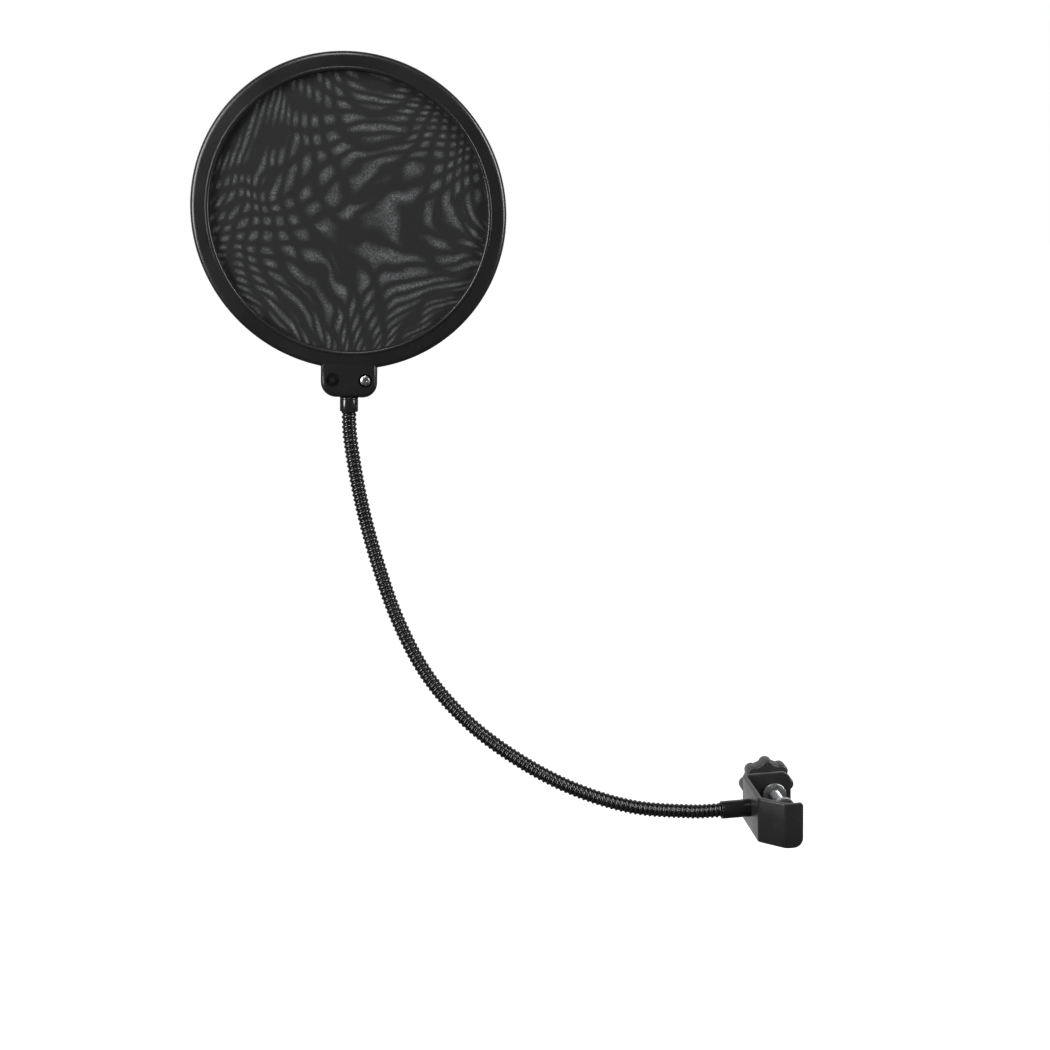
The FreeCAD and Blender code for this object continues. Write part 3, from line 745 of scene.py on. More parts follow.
class NeckLine:
    """Centre line of the gooseneck, from the lower ferrule's mouth to the upper ferrule."""

    SAMPLES = 40

    def __init__(self, knots: Sequence[Vector], first_way: Vector, last_way: Vector) -> None:
        """Draws one smooth line through the knots.

        Args:
            knots: points on the line.
            first_way: direction in which it starts.
            last_way: direction in which it ends.
        """
        ways = [first_way]
        ways += [(after - before).normalized() for before, after in zip(knots, knots[2:])]
        ways.append(last_way)
        self.points = [knots[0]]
        for start, end, out, into in zip(knots, knots[1:], ways, ways[1:]):
            reach = (end - start).length / 3
            self.points += interpolate_bezier(start, start + out * reach, end - into * reach,
                                              end, self.SAMPLES)[1:]
        self.distances = [0.0]
        for before, after in zip(self.points, self.points[1:]):
            self.distances.append(self.distances[-1] + (after - before).length)
        self.length = self.distances[-1]
        self.ways = [first_way.normalized()]
        self.ways += [(after - before).normalized()
                      for before, after in zip(self.points, self.points[2:])]
        self.ways.append(last_way.normalized())
        side = self.ways[0].orthogonal().normalized()
        self.sides = []
        for way in self.ways:
            side = (side - way * side.dot(way)).normalized()
            self.sides.append(side)

    def at(self, distance: float) -> tuple[Vector, Vector, Vector]:
        """Gives the point, the direction and the side direction at a distance."""
        if distance <= 0 or distance >= self.length:
            end = 0 if distance <= 0 else -1
            past = distance if distance <= 0 else distance - self.length
            return self.points[end] + self.ways[end] * past, self.ways[end], self.sides[end]
        low, high = 0, len(self.distances) - 1
        while high - low > 1:
            half = (low + high) // 2
            low, high = (half, high) if self.distances[half] <= distance else (low, half)
        share = (distance - self.distances[low]) / (self.distances[high] - self.distances[low])
        return tuple(rows[low].lerp(rows[high], share)
                     for rows in (self.points, self.ways, self.sides))

    def carry(self, mesh: bmesh.types.BMesh) -> None:
        """Bends a shape that runs along Z onto the line."""
        for vert in mesh.verts:
            point, way, side = self.at(vert.co.z)
            vert.co = point + side * vert.co.x + way.cross(side) * vert.co.y


@dataclass
class Gooseneck(SubAssembly):
    """Two wires wound into one flexible neck, and the ferrules on its ends. Millimetres."""

    pitch: float = 2.5
    core_wire: float = 0.93
    core_centre: float = 2.95
    wrap_root: float = 2.5
    wrap_shoulder: float = 3.1
    wrap_crest: float = 3.35
    wrap_half: float = 0.42
    bore_gap: float = 0.1
    steps_a_turn: int = 24
    bend_reach: float = 12.0
    tuck: float = 4.5
    ferrule: float = 4.7
    lower_length: float = 15.5
    upper_length: float = 7.3
    neck: float = 3.88
    lower_socket: float = 8.0
    upper_socket: float = 5.0

    def build(self) -> None:
        """Builds the coils of every elbow, and then the ferrules."""
        swivel = joint("head_swivel")
        self.up = Vector(swivel["axis"]).normalized()
        self.end = Vector(swivel["pos_m"]) - self.up * self.upper_length * MM
        low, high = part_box("lower_ferrule")
        foot = (low + high) / 2
        foot.x = low.x
        bends = [item for item in frame["joints"] if item["name"].startswith("neck_bend")]
        elbows = [Vector(item["pos_m"]) for item in bends]
        self.line = NeckLine([foot, *elbows, self.end], Vector((-1, 0, 0)), self.up)
        stops = [self.line.distances[self.line.SAMPLES * (i + 1) - (i + 1)]
                 for i in range(len(elbows))]
        ends = [-self.tuck * MM]
        ends += [(before + after) / 2 for before, after in zip(stops, stops[1:])]
        ends.append(self.line.length + self.tuck * MM)
        for index, (bend, stop) in enumerate(zip(bends, stops)):
            span = ends[index], ends[index + 1]
            number, after = f"{index + 1:02d}", f"{index + 2:02d}"
            for name, section, finish in (("core", self.core_section(), CORE_PLATING),
                                          ("wrap", self.wrap_section(), NECK_PLATING)):
                coil = self.piece(f"neck_{name}_coil_{number}", self.coil(section, *span),
                                  finish, Matrix(),
                                  [f"neck_{name}_{number}", f"neck_{name}_{after}"], 60.0)
                self.line.at(stop - self.bend_reach * MM)[0]
                self.line.at(stop + self.bend_reach * MM)[0]
                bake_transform(coil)
        self.build_lower_ferrule(foot)
        self.build_upper_ferrule()

    def core_section(self) -> bmesh.types.BMesh:
        """Gives the round wire's section, standing in the XZ plane."""
        mesh = bmesh.new()
        bmesh.ops.create_circle(mesh, segments=10, radius=self.core_wire * MM, cap_ends=True,
                                matrix=Matrix.Rotation(math.pi / 2, 4, "X"))
        bmesh.ops.translate(mesh, verts=mesh.verts[:], vec=(self.core_centre * MM, 0, 0))
        return mesh

    def wrap_section(self) -> bmesh.types.BMesh:
        """Gives the three-sided wire's section, between two turns of the round one."""
        half = self.pitch / 2
        mesh = bmesh.new()
        lay_section(mesh, [Corner(self.wrap_root, half),
                           Corner(self.wrap_shoulder, half - self.wrap_half, 0.1),
                           Corner(self.wrap_crest, half, 0.12),
                           Corner(self.wrap_shoulder, half + self.wrap_half, 0.1)], 2)
        return mesh

    def coil(self, mesh: bmesh.types.BMesh, start: float, end: float) -> bmesh.types.BMesh:
        """Winds a section from one distance to another along the neck.

        Args:
            mesh: the wire's section at the start of a turn.
            start: distance of the coil's start in metres.
            end: distance of its end in metres.

        Returns:
            The closed coil, bent to the neck's line.
        """
        turns = (end - start) / (self.pitch * MM)
        steps = round(turns * self.steps_a_turn)
        bmesh.ops.rotate(mesh, verts=mesh.verts[:], cent=(0, 0, 0), matrix=Matrix.Rotation(
            FULL_TURN * start / (self.pitch * MM), 3, "Z"))
        bmesh.ops.translate(mesh, verts=mesh.verts[:], vec=(0, 0, start))
        bmesh.ops.spin(mesh, geom=mesh.faces[:], cent=(0, 0, 0), axis=(0, 0, 1),
                       dvec=(0, 0, (end - start) / steps), angle=FULL_TURN * turns, steps=steps,
                       use_merge=False, use_normal_flip=False, use_duplicate=False)
        openings = [edge for edge in mesh.edges if edge.is_boundary]
        if openings:
            bmesh.ops.holes_fill(mesh, edges=openings, sides=0)
        self.line.carry(mesh)
        bmesh.ops.recalc_face_normals(mesh, faces=mesh.faces[:])
        return mesh

    def build_lower_ferrule(self, foot: Vector) -> None:
        """Turns the ferrule on the web, with a lip at its mouth."""
        length, bore = self.lower_length, self.neck + self.bore_gap
        mesh = turned([
            Corner(2.0, 0), Corner(self.ferrule, 0, 0.3), Corner(self.ferrule, length - 1.35, 0.1),
            Corner(self.ferrule - 0.18, length - 1.25), Corner(self.ferrule - 0.18, length - 1.0),
            Corner(self.ferrule, length - 0.9, 0.1), Corner(self.ferrule, length, 0.35),
            Corner(bore, length, 0.2), Corner(bore, length - self.lower_socket),
            Corner(2.0, length - self.lower_socket)], 72)
        root = foot + Vector((length * MM, 0, 0))
        made = self.piece("ferrule_on_clamp", mesh, NECK_PLATING,
                          axes_at(root, Vector((-1, 0, 0)), Vector((0, 0, 1))),
                          ["lower_ferrule"])
        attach(made, "clamp")

    def build_upper_ferrule(self) -> None:
        """Turns the ferrule under the head, with a crimp dimple in its side."""
        length, bore = self.upper_length, self.neck + self.bore_gap
        mesh = turned([
            Corner(bore, 0, 0.2), Corner(self.ferrule, 0, 0.45),
            Corner(self.ferrule, length - 1.1, 0.1), Corner(self.ferrule - 0.15, length - 1.0),
            Corner(self.ferrule - 0.15, length - 0.8), Corner(self.ferrule, length - 0.7, 0.1),
            Corner(self.ferrule, length, 0.3), Corner(1.55, length),
            Corner(1.55, self.upper_socket), Corner(bore, self.upper_socket)], 72)
        dent = bmesh.new()
        bmesh.ops.create_icosphere(dent, subdivisions=3, radius=1.0 * MM)
        mesh = combined(mesh, shifted(dent, self.ferrule + 0.62, 0, 3.2), Cut.REMOVE)
        made = self.piece("ferrule_under_head", mesh, NECK_PLATING,
                          axes_at(self.end, self.up, Vector((0.8, -0.6, 0))), ["upper_ferrule"])
        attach(made, joint("head_swivel")["parent"])


# ---------------------------------------------------------------- head


@dataclass
class FilterHead(SubAssembly):
    """Hoop in two moulded halves, its screens and the screws of its bracket. Millimetres."""

    rim: float = 77.5
    rim_round: float = 2.6
    half: float = 4.0
    lip: float = 68.5
    window: float = 68.1
    seat: float = 71.2
    screen_depth: float = 1.3
    spacer_half: float = 1.0
    screen: float = 71.0
    tab_half_width: float = 14.15
    tab_foot: float = 91.7
    tab_root: float = 73.0
    tab_corner: float = 7.5
    tab_edge: float = 2.5
    screw_side: float = 8.2
    screw_drop: float = 82.8
    counterbore: float = 3.45
    counterbore_depth: float = 1.9
    screw_head: float = 2.75
    head_rise: float = 1.5
    shank: float = 1.15
    screw_tip: float = -2.5
    cross: tuple[float, float, float] = (3.3, 0.8, 1.8)
    clearance_hole: float = 1.3
    thread_hole: float = 1.2
    thread_depth: float = 2.8
    bead_rise: float = 0.4
    facets: int = 160

    def build(self) -> None:
        """Builds the halves, the screens and the screws."""
        front = (middle("front_screen") - middle("rear_screen")).normalized()
        swivel = joint("head_swivel")
        up = Vector(swivel["axis"]).normalized()
        front = (front - up * front.dot(up)).normalized()
        self.front = axes_at(middle("spacer_ring"), front, up.cross(front))
        self.rear = self.front @ Matrix.Rotation(math.pi, 4, "Y")
        self.body = swivel["child"]
        for name, place, node in (("hoop_front", self.front, "front_hoop"),
                                  ("hoop_rear", self.rear, "rear_hoop")):
            made = self.piece(name, self.half_hoop(node == "front_hoop"), HOOP_PLASTIC, place,
                              [node], 32.0)
            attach(made, self.body)
        for name, place, node in (("screen_front", self.front, "front_screen"),
                                  ("screen_rear", self.rear, "rear_screen")):
            self.build_screen(name, place, node)
        screws = self.piece("bracket_screw_pair", self.bracket_screws(), SCREW_PLATE, self.front,
                            ["bracket_screws"], 30.0)
        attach(screws, self.body)
        self.dress("spacer_ring", HOOP_PLASTIC)
        self.dress("swivel_screw", SCREW_PLATE)

    def half_hoop(self, is_front: bool) -> bmesh.types.BMesh:
        """Moulds one half of the hoop with its half of the bracket tab."""
        bead = self.half + self.bead_rise
        ring = turned([
            Corner(self.rim, 0.0, 0.12), Corner(self.rim, self.half, self.rim_round),
            Corner(self.lip + 1.6, self.half, 0.2), Corner(self.lip + 1.4, bead, 0.3),
            Corner(self.lip - 0.05, bead, 0.9), Corner(self.window, self.screen_depth),
            Corner(self.seat, self.screen_depth), Corner(self.seat, 0.0)], self.facets)
        tab = raised([
            Corner(-self.tab_half_width, -self.tab_root),
            Corner(-self.tab_half_width, -self.tab_foot, self.tab_corner),
            Corner(self.tab_half_width, -self.tab_foot, self.tab_corner),
            Corner(self.tab_half_width, -self.tab_root)], 0.0, self.half, self.tab_edge)
        hoop = combined(ring, tab, Cut.JOIN)
        tools = [self.swivel_pocket()]
        for way in (-1, 1):
            if is_front:
                bore = rod(self.counterbore, self.half - self.counterbore_depth, self.half + 1)
                tools.append(shifted(bore, way * self.screw_side, -self.screw_drop))
            hole = (rod(self.clearance_hole, -0.5, self.half, 24) if is_front
                    else rod(self.thread_hole, -0.5, self.thread_depth, 24))
            tools.append(shifted(hole, way * self.screw_side, -self.screw_drop))
        for tool in tools:
            hoop = combined(hoop, tool, Cut.REMOVE)
        return hoop

    def swivel_pocket(self) -> bmesh.types.BMesh:
        """Gives the pocket in the tab for the swivel screw and its head."""
        pocket = turned([Corner(0, -1), Corner(1.55, -1), Corner(1.55, 3.15), Corner(2.75, 3.15),
                         Corner(2.75, 5.35), Corner(0, 5.35)], 32)
        bmesh.ops.rotate(pocket, verts=pocket.verts[:], cent=(0, 0, 0),
                         matrix=Matrix.Rotation(-math.pi / 2, 3, "X"))
        return shifted(pocket, 0, -self.tab_foot)

    def build_screen(self, name: str, place: Matrix, node: str) -> None:
        """Stretches one screen over the spacer, with the weave's own coordinates."""
        rings = [Corner(0, self.spacer_half)]
        rings += [Corner(self.screen * share / 12, self.spacer_half) for share in range(1, 13)]
        rings += [Corner(self.screen * share / 12, self.screen_depth)
                  for share in range(12, -1, -1)]
        mesh = turned(rings, 96)
        layer = mesh.loops.layers.uv.new("weave")
        for face in mesh.faces:
            for loop in face.loops:
                loop[layer].uv = (loop.vert.co.x * 5 + 0.5, loop.vert.co.y * 5 + 0.5)
        made = self.piece(name, mesh, SCREEN_NYLON, place, [node])
        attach(made, self.body)

    def bracket_screws(self) -> bmesh.types.BMesh:
        """Makes the two crosshead screws that close the bracket."""
        seat = self.half - self.counterbore_depth
        crown = seat + self.head_rise
        heads = []
        for way, turn in ((-1, 21.7), (1, -31.3)):
            head = turned([Corner(0, self.screw_tip), Corner(self.shank, self.screw_tip, 0.3),
                           Corner(self.shank, seat), Corner(self.screw_head, seat),
                           Corner(self.screw_head, seat + 0.9, 0.5), Corner(1.6, crown, 0.6),
                           Corner(0, crown)], 48)
            head = crossed(head, self.cross, (0.45, 0.7, -1), (0.01, 0.02, crown + 0.03), turn)
            heads.append(shifted(head, way * self.screw_side, -self.screw_drop))
        return gathered(heads)


# ---------------------------------------------------------------- clamp


@dataclass
class ScrewClamp(SubAssembly):
    """Bent strip with its thumb screw, knob, pad and fixings. Millimetres."""

    thick: float = 2.5
    height: float = 24.0
    bend: float = 3.1
    apex_bend: float = 4.6
    edge: float = 0.5
    lip_length: float = 9.0
    slant: float = 17.0
    plate_round: float = 5.0
    lip_round_top: float = 1.5
    lip_round_foot: float = 5.0
    knob: float = 14.5
    knob_core: float = 12.5
    lobe: float = 3.6
    lobes: int = 8
    bush_bore: float = 3.05
    bush_shank: float = 5.0
    bush_edge: float = 6.5
    bush_flange: float = 1.8
    pad_edge: float = 6.0
    pad_mouth: float = 2.0
    pad_hollow: float = 2.6
    cushion_edge: float = 5.95
    cushion_grooves: tuple[float, ...] = (1.6, 3.0, 4.4)
    web_shank: float = 2.0
    web_reach: float = 6.0
    web_head: float = 3.6
    web_head_rise: float = 2.2
    washer_bore: float = 2.05
    washer_edge: float = 3.9
    washer_thick: float = 0.8
    hexagon: float = 5.6
    hex_length: float = 4.0
    thread: float = 3.0
    thread_pitch: float = 1.0

    def build(self) -> None:
        """Builds the strip, the screw, the knob, the pad and the fixings."""
        self.along_screw = Matrix.Rotation(-math.pi / 2, 4, "X")
        body = "clamp"
        strip = self.piece("clamp_strip", self.strip(), CLAMP_PAINT, Matrix(), ["clamp_frame"])
        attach(strip, body)
        for name, mesh, finish, node, rider in (
                ("plate_bush", self.bush(), ZINC_PLATE, "thread_bush", "clamp"),
                ("thumb_screw_rod", self.screw(), ZINC_PLATE, "clamp_screw", "thumb_screw"),
                ("thumb_knob", self.thumb_knob(), KNOB_PLASTIC, "clamp_knob", "thumb_screw"),
                ("pad_cup", self.pad_cup(), ZINC_PLATE, "pressure_pad", "pad"),
                ("pad_face", self.pad_face(), PAD_RUBBER, "pad_cushion", "pad")):
            made = self.piece(name, mesh, finish, self.along_screw, [node])
            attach(made, rider)
        low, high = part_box("lower_ferrule")
        web = Vector((high.x, (low.y + high.y) / 2, 0))
        place = axes_at(web, Vector((-1, 0, 0)), Vector((0, 0, 1)))
        for name, mesh, node in (("web_screw", self.web_screw(), "ferrule_screw"),
                                 ("web_lock_washer", self.lock_washer(), "ferrule_lock_washer")):
            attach(self.piece(name, mesh, ZINC_PLATE, place, [node], 30.0), body)

    def strip(self) -> bmesh.types.BMesh:
        """Bends the strip round its corners and rounds its free ends."""
        low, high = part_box("clamp_frame")
        left, near, right, far = (value / MM for value in (low.x, low.y, high.x, high.y))
        lean = self.slant * math.sin(math.radians(45))
        apex = left + lean
        route = [(apex + self.lip_length, near), (apex, near), (left, near + lean),
                 (left, far), (right, far)]
        mesh = bmesh.new()
        verts = [mesh.verts.new(Vector((x, y, -self.height / 2)) * MM) for x, y in route]
        edges = [mesh.edges.new(pair) for pair in zip(verts, verts[1:])]
        grown = bmesh.ops.extrude_edge_only(mesh, edges=edges)["geom"]
        tops = [item for item in grown if isinstance(item, bmesh.types.BMVert)]
        bmesh.ops.translate(mesh, verts=tops, vec=(0, 0, self.height * MM))
        for index in range(1, len(route) - 1):
            here, before, after = (Vector(route[i]) for i in (index, index - 1, index + 1))
            half = (before - here).angle(after - here) / 2
            fold = [edge for edge in mesh.edges
                    if all((v.co.xy - here * MM).length < 0.01 * MM for v in edge.verts)]
            bmesh.ops.bevel(mesh, geom=fold, affect="EDGES", segments=8, profile=0.5, material=-1,
                            offset=(self.apex_bend if index == 1 else self.bend) * MM
                            / math.tan(half), offset_type="OFFSET",
                            clamp_overlap=True)
        for (x, y), rounds in ((route[0], (self.lip_round_foot, self.lip_round_top)),
                               (route[-1], (self.plate_round, self.plate_round))):
            for z, radius in zip((-1, 1), rounds):
                spot = Vector((x, y, z * self.height / 2)) * MM
                corner = [v for v in mesh.verts if (v.co - spot).length < 0.01 * MM]
                bmesh.ops.bevel(mesh, geom=corner, affect="VERTICES", segments=6, profile=0.5,
                                offset=radius * MM, offset_type="OFFSET", material=-1,
                                clamp_overlap=True)
        bmesh.ops.recalc_face_normals(mesh, faces=mesh.faces[:])
        self.thicken(mesh)
        soften(mesh, sharp_edges(mesh), self.edge, 3)
        middle_y = middle("lower_ferrule").y / MM
        for tool, place in ((rod(self.bush_shank, far - 5, far + 5), self.along_screw),
                            (rod(self.web_shank, -5, 5),
                             axes_at(Vector((left, middle_y, 0)) * MM, Vector((1, 0, 0)),
                                     Vector((0, 0, 1))))):
            tool.transform(place)
            mesh = combined(mesh, tool, Cut.REMOVE)
        return mesh

    def thicken(self, mesh: bmesh.types.BMesh) -> None:
        """Gives the bent sheet its wall, inside its outer line."""
        centre = Vector((0.0, 10.0 * MM, 0.0))
        web = min(mesh.faces, key=lambda face: face.calc_center_median().x)
        if web.normal.dot(web.calc_center_median() - centre) < 0:
            bmesh.ops.reverse_faces(mesh, faces=mesh.faces[:])
        bmesh.ops.solidify(mesh, geom=mesh.faces[:], thickness=self.thick * MM)
        bmesh.ops.recalc_face_normals(mesh, faces=mesh.faces[:])

    def bush(self) -> bmesh.types.BMesh:
        """Turns the riveted bush in the back plate."""
        low, high = (value.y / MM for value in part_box("thread_bush"))
        bore, shank, edge = self.bush_bore, self.bush_shank, self.bush_edge
        flange = self.bush_flange
        return turned([
            Corner(bore, low, 0.3), Corner(edge, low, 0.3), Corner(edge, low + flange, 0.2),
            Corner(shank, low + flange), Corner(shank, high - 0.5), Corner(5.35, high - 0.45, 0.1),
            Corner(5.2, high, 0.25), Corner(4.1, high, 0.2), Corner(bore, high - 0.6)], 72)

    def screw(self) -> bmesh.types.BMesh:
        """Makes the rod with its rolled thread, hexagon head and swivel button."""
        low, high = (value.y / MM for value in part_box("clamp_screw"))
        tip = turned([Corner(0, low), Corner(2.5, low, 0.3), Corner(2.5, low + 1.7, 0.2),
                      Corner(1.8, low + 1.7), Corner(1.8, low + 3.6), Corner(2.4, low + 4.2),
                      Corner(0, low + 4.2)], 48)
        foot, top = low + 4.0, high - self.hex_length
        thread = bmesh.new()
        depth = 0.55
        chain = [(self.thread - depth, 0.0), (self.thread - depth, 0.14), (self.thread, 0.50),
                 (self.thread, 0.64), (self.thread - depth, self.thread_pitch)]
        verts = [thread.verts.new(Vector((r, 0, foot + z)) * MM) for r, z in chain]
        edges = [thread.edges.new(pair) for pair in zip(verts, verts[1:])]
        turns = int((top - foot) / self.thread_pitch)
        facets = 20
        bmesh.ops.spin(thread, geom=verts + edges, cent=(0, 0, 0), axis=(0, 0, 1),
                       dvec=(0, 0, self.thread_pitch * MM / facets), angle=FULL_TURN * turns,
                       steps=turns * facets, use_merge=False, use_normal_flip=False,
                       use_duplicate=False)
        bmesh.ops.remove_doubles(thread, verts=thread.verts[:], dist=0.005 * MM)
        bmesh.ops.holes_fill(thread, edges=[e for e in thread.edges if e.is_boundary], sides=0)
        bmesh.ops.recalc_face_normals(thread, faces=thread.faces[:])
        collar = rod(self.thread - depth, top - 1.5, top + 0.2)
        head = bmesh.new()
        bmesh.ops.create_cone(head, cap_ends=True, segments=6, radius1=self.hexagon * MM,
                              radius2=self.hexagon * MM, depth=self.hex_length * MM)
        soften(head, [e for e in head.edges if all(v.co.z > 0 for v in e.verts)], 0.45, 2)
        shifted(head, 0, 0, high - self.hex_length / 2)
        return gathered([tip, thread, collar, head])

    def thumb_knob(self) -> bmesh.types.BMesh:
        """Moulds the lobed knob with a sunk hexagon in its outer face."""
        low, high = (value.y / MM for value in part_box("clamp_knob"))
        mesh = bmesh.new()
        count = self.lobes * 18
        bmesh.ops.create_circle(mesh, segments=count, radius=self.knob_core * MM, cap_ends=True)
        ring = self.knob - self.lobe
        for vert in mesh.verts:
            angle = math.atan2(vert.co.y, vert.co.x) * self.lobes
            off = (angle + math.pi) % FULL_TURN - math.pi
            off /= self.lobes
            reach = self.lobe ** 2 - (ring * math.sin(off)) ** 2
            lobe = ring * math.cos(off) + math.sqrt(reach) if reach > 0 else 0.0
            vert.co *= max(lobe, self.knob_core) / self.knob_core
        draw_up(mesh, low, high)
        soften(mesh, sharp_edges(mesh, 70.0), 1.1, 4)
        sunk = bmesh.new()
        bmesh.ops.create_cone(sunk, cap_ends=True, segments=6, radius1=(self.hexagon + 0.12) * MM,
                              radius2=(self.hexagon + 0.12) * MM, depth=2 * self.hex_length * MM)
        dish = turned([Corner(0, high - 0.7), Corner(8.2, high - 0.7, 0.3), Corner(9.0, high + 1),
                       Corner(0, high + 1)], 64)
        for tool in (dish, shifted(sunk, 0, 0, high), rod(3.02, low - 1, high, 32)):
            mesh = combined(mesh, tool, Cut.REMOVE)
        return mesh

    def pad_cup(self) -> bmesh.types.BMesh:
        """Turns the cup that swivels on the screw's button."""
        low, high = (value.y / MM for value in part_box("pressure_pad"))
        return turned([
            Corner(0, low), Corner(self.pad_edge, low, 0.25), Corner(self.pad_edge, low + 2.6, 0.5),
            Corner(4.4, high - 0.5, 0.4), Corner(3.6, high, 0.3),
            Corner(self.pad_mouth, high, 0.2),
            Corner(self.pad_mouth, high - 1.2), Corner(self.pad_hollow, high - 1.2),
            Corner(self.pad_hollow, low + 1),
            Corner(0, low + 1)], 72)

    def pad_face(self) -> bmesh.types.BMesh:
        """Turns the rubber face with its grip rings."""
        low, high = (value.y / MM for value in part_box("pad_cushion"))
        corners = [Corner(0, low), Corner(1.4, low)]
        for ring in self.cushion_grooves:
            corners += [Corner(ring, low + 0.25, 0.05), Corner(ring + 0.4, low + 0.25, 0.05),
                        Corner(ring + 0.6, low), Corner(ring + 1.1, low)]
        corners[-1] = Corner(self.cushion_edge, low, 0.3)
        corners += [Corner(self.cushion_edge, high), Corner(0, high)]
        return turned(corners, 72, 2)

    def web_screw(self) -> bmesh.types.BMesh:
        """Makes the crosshead screw that holds the lower ferrule."""
        foot = -self.thick - self.washer_thick
        crown = foot - self.web_head_rise
        head = turned([Corner(0, crown), Corner(2.4, crown, 0.9),
                       Corner(self.web_head, foot - 1.1, 0.6), Corner(self.web_head, foot),
                       Corner(self.web_shank, foot), Corner(self.web_shank, self.web_reach),
                       Corner(0, self.web_reach)], 64)
        return crossed(head, (4.0, 0.8, 2.4), (0.5, 0.7, 1), (0, 0, crown), 35.0)

    def lock_washer(self) -> bmesh.types.BMesh:
        """Turns the split lock washer."""
        foot = -self.thick
        low, bore, edge = foot - self.washer_thick, self.washer_bore, self.washer_edge
        ring = turned([Corner(bore, low, 0.1), Corner(edge, low, 0.1), Corner(edge, foot, 0.1),
                       Corner(bore, foot, 0.1)], 72, 2)
        gap = shifted(block(3.0, 0.5, 3.0), 3.3, 0, foot - 0.4)
        return combined(ring, gap, Cut.REMOVE)


# ---------------------------------------------------------------- studio


@dataclass(frozen=True)
class SoftBox:
    """One soft light: where it stands, where it looks, its sides in metres and its power."""

    name: str
    stands: tuple[float, float, float]
    looks: tuple[float, float, float]
    sides: tuple[float, float]
    watts: float


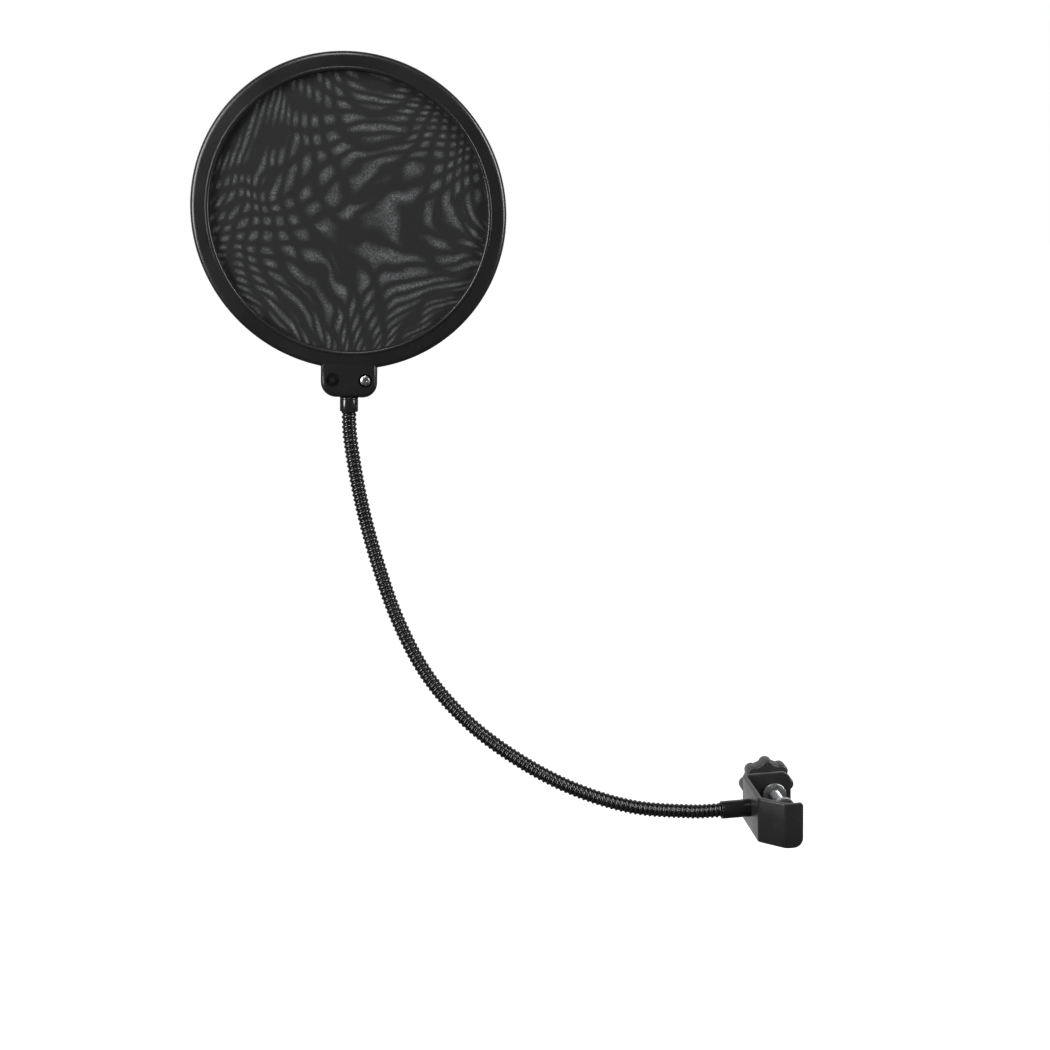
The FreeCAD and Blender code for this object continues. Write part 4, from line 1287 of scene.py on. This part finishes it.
@dataclass
class Studio:
    """Pale sweep, soft lights and the camera."""

    floor_level: float = -0.5
    floor_reach: float = 14.0
    camera_stand: tuple[float, float, float] = (-0.21927, -0.82873, 0.33934)
    heading: float = 9.757
    down: float = 13.434
    lean: float = 1.12
    lens: float = 60.2
    shift: tuple[float, float] = (-0.1086, 0.039)
    front_glow: float = 0.085
    back_glow: float = 1.0
    glow_start: float = 0.45
    glow_end: float = 0.97
    boxes: list[SoftBox] = field(default_factory=lambda: [
        SoftBox("left_box", (-1.35, -0.56, 0.6), (-0.2, 0.05, 0.25), (0.4, 1.1), 30.0),
        SoftBox("right_box", (0.98, -0.52, 0.6), (-0.2, 0.05, 0.25), (0.35, 1.1), 24.0),
        SoftBox("key_box", (-0.35, -0.5, 1.3), (-0.12, 0.0, 0.05), (0.4, 0.4), 6.5),
    ])

    def build(self) -> None:
        """Sets the sweep, the surroundings, the lights and the camera."""
        self.build_floor()
        self.build_surroundings()
        for box in self.boxes:
            self.hang(box)
        self.build_camera()

    def build_floor(self) -> None:
        """Lays the pale floor."""
        mesh = bmesh.new()
        bmesh.ops.create_circle(mesh, segments=96, radius=self.floor_reach, cap_ends=True)
        data = bpy.data.meshes.new("floor")
        mesh.transform(Matrix.Translation((0, 0, self.floor_level)))
        mesh.to_mesh(data)
        mesh.free()
        data.materials.append(STUDIO_SWEEP.material())
        floor = bpy.data.objects.new("floor", data)
        floor.visible_glossy = floor.visible_diffuse = False
        bpy.context.scene.collection.objects.link(floor)

    def build_surroundings(self) -> None:
        """Lights the room evenly, and shows it white."""
        world = bpy.data.worlds.new("studio")
        bpy.context.scene.world = world
        world.use_nodes = True
        tree = world.node_tree
        sky = tree.nodes["Background"]
        sky.inputs["Color"].default_value = grey(1.0)
        way = tree.nodes.new("ShaderNodeTexCoord").outputs["Generated"]
        split = tree.nodes.new("ShaderNodeSeparateXYZ")
        tree.links.new(way, split.inputs[0])
        depth = self.spread(tree, split.outputs[1], self.glow_start, self.glow_end,
                            self.front_glow, self.back_glow)
        seen = tree.nodes.new("ShaderNodeLightPath").outputs["Is Camera Ray"]
        level = self.spread(tree, seen, 0.0, 1.0, depth, 1.0)
        tree.links.new(level, sky.inputs["Strength"])
        bpy.context.scene.view_settings.view_transform = "Standard"

    @staticmethod
    def spread(tree: bpy.types.NodeTree, value: object, *ends: object) -> bpy.types.NodeSocket:
        """Spreads a value over a range; a range end may be a number or an output."""
        made = tree.nodes.new("ShaderNodeMapRange")
        for socket, end in zip(made.inputs, (value, *ends)):
            if isinstance(end, bpy.types.NodeSocket):
                tree.links.new(end, socket)
            else:
                socket.default_value = end
        return made.outputs[0]

    def hang(self, box: SoftBox) -> None:
        """Hangs one soft light."""
        light = bpy.data.lights.new(box.name, "AREA")
        light.shape = "RECTANGLE"
        light.size, light.size_y = box.sides
        light.energy = box.watts
        made = bpy.data.objects.new(box.name, light)
        made.location = box.stands
        way = Vector(box.looks) - Vector(box.stands)
        made.rotation_euler = way.to_track_quat("-Z", "Y").to_euler()
        bpy.context.scene.collection.objects.link(made)

    def build_camera(self) -> None:
        """Stands the camera in front of the hoop, looking slightly down."""
        turn, dip, roll = (math.radians(v) for v in (self.heading, self.down, self.lean))
        way = Vector((math.sin(turn) * math.cos(dip), math.cos(turn) * math.cos(dip),
                      -math.sin(dip)))
        level = Vector((math.cos(turn), -math.sin(turn), 0))
        sink = way.cross(level)
        right = level * math.cos(roll) + sink * math.sin(roll)
        data = bpy.data.cameras.new("camera")
        data.lens, data.clip_start, data.clip_end = self.lens, 0.01, 100.0
        data.shift_x, data.shift_y = self.shift
        camera = bpy.data.objects.new("camera", data)
        turned_axes = Matrix((right, right.cross(way), -way)).transposed()
        camera.matrix_world = Matrix.LocRotScale(Vector(self.camera_stand), turned_axes, None)
        bpy.context.scene.collection.objects.link(camera)
        bpy.context.scene.camera = camera


def main() -> None:
    """Builds the studio and every sub-assembly in order."""
    logging.basicConfig(level=logging.INFO, format="%(name)s %(message)s")
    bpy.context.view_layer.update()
    Studio().build()
    for part in (Gooseneck(), FilterHead(), ScrewClamp()):
        log.info("building %s", type(part).__name__)
        part.build()


if __name__ == "__main__":
    main()
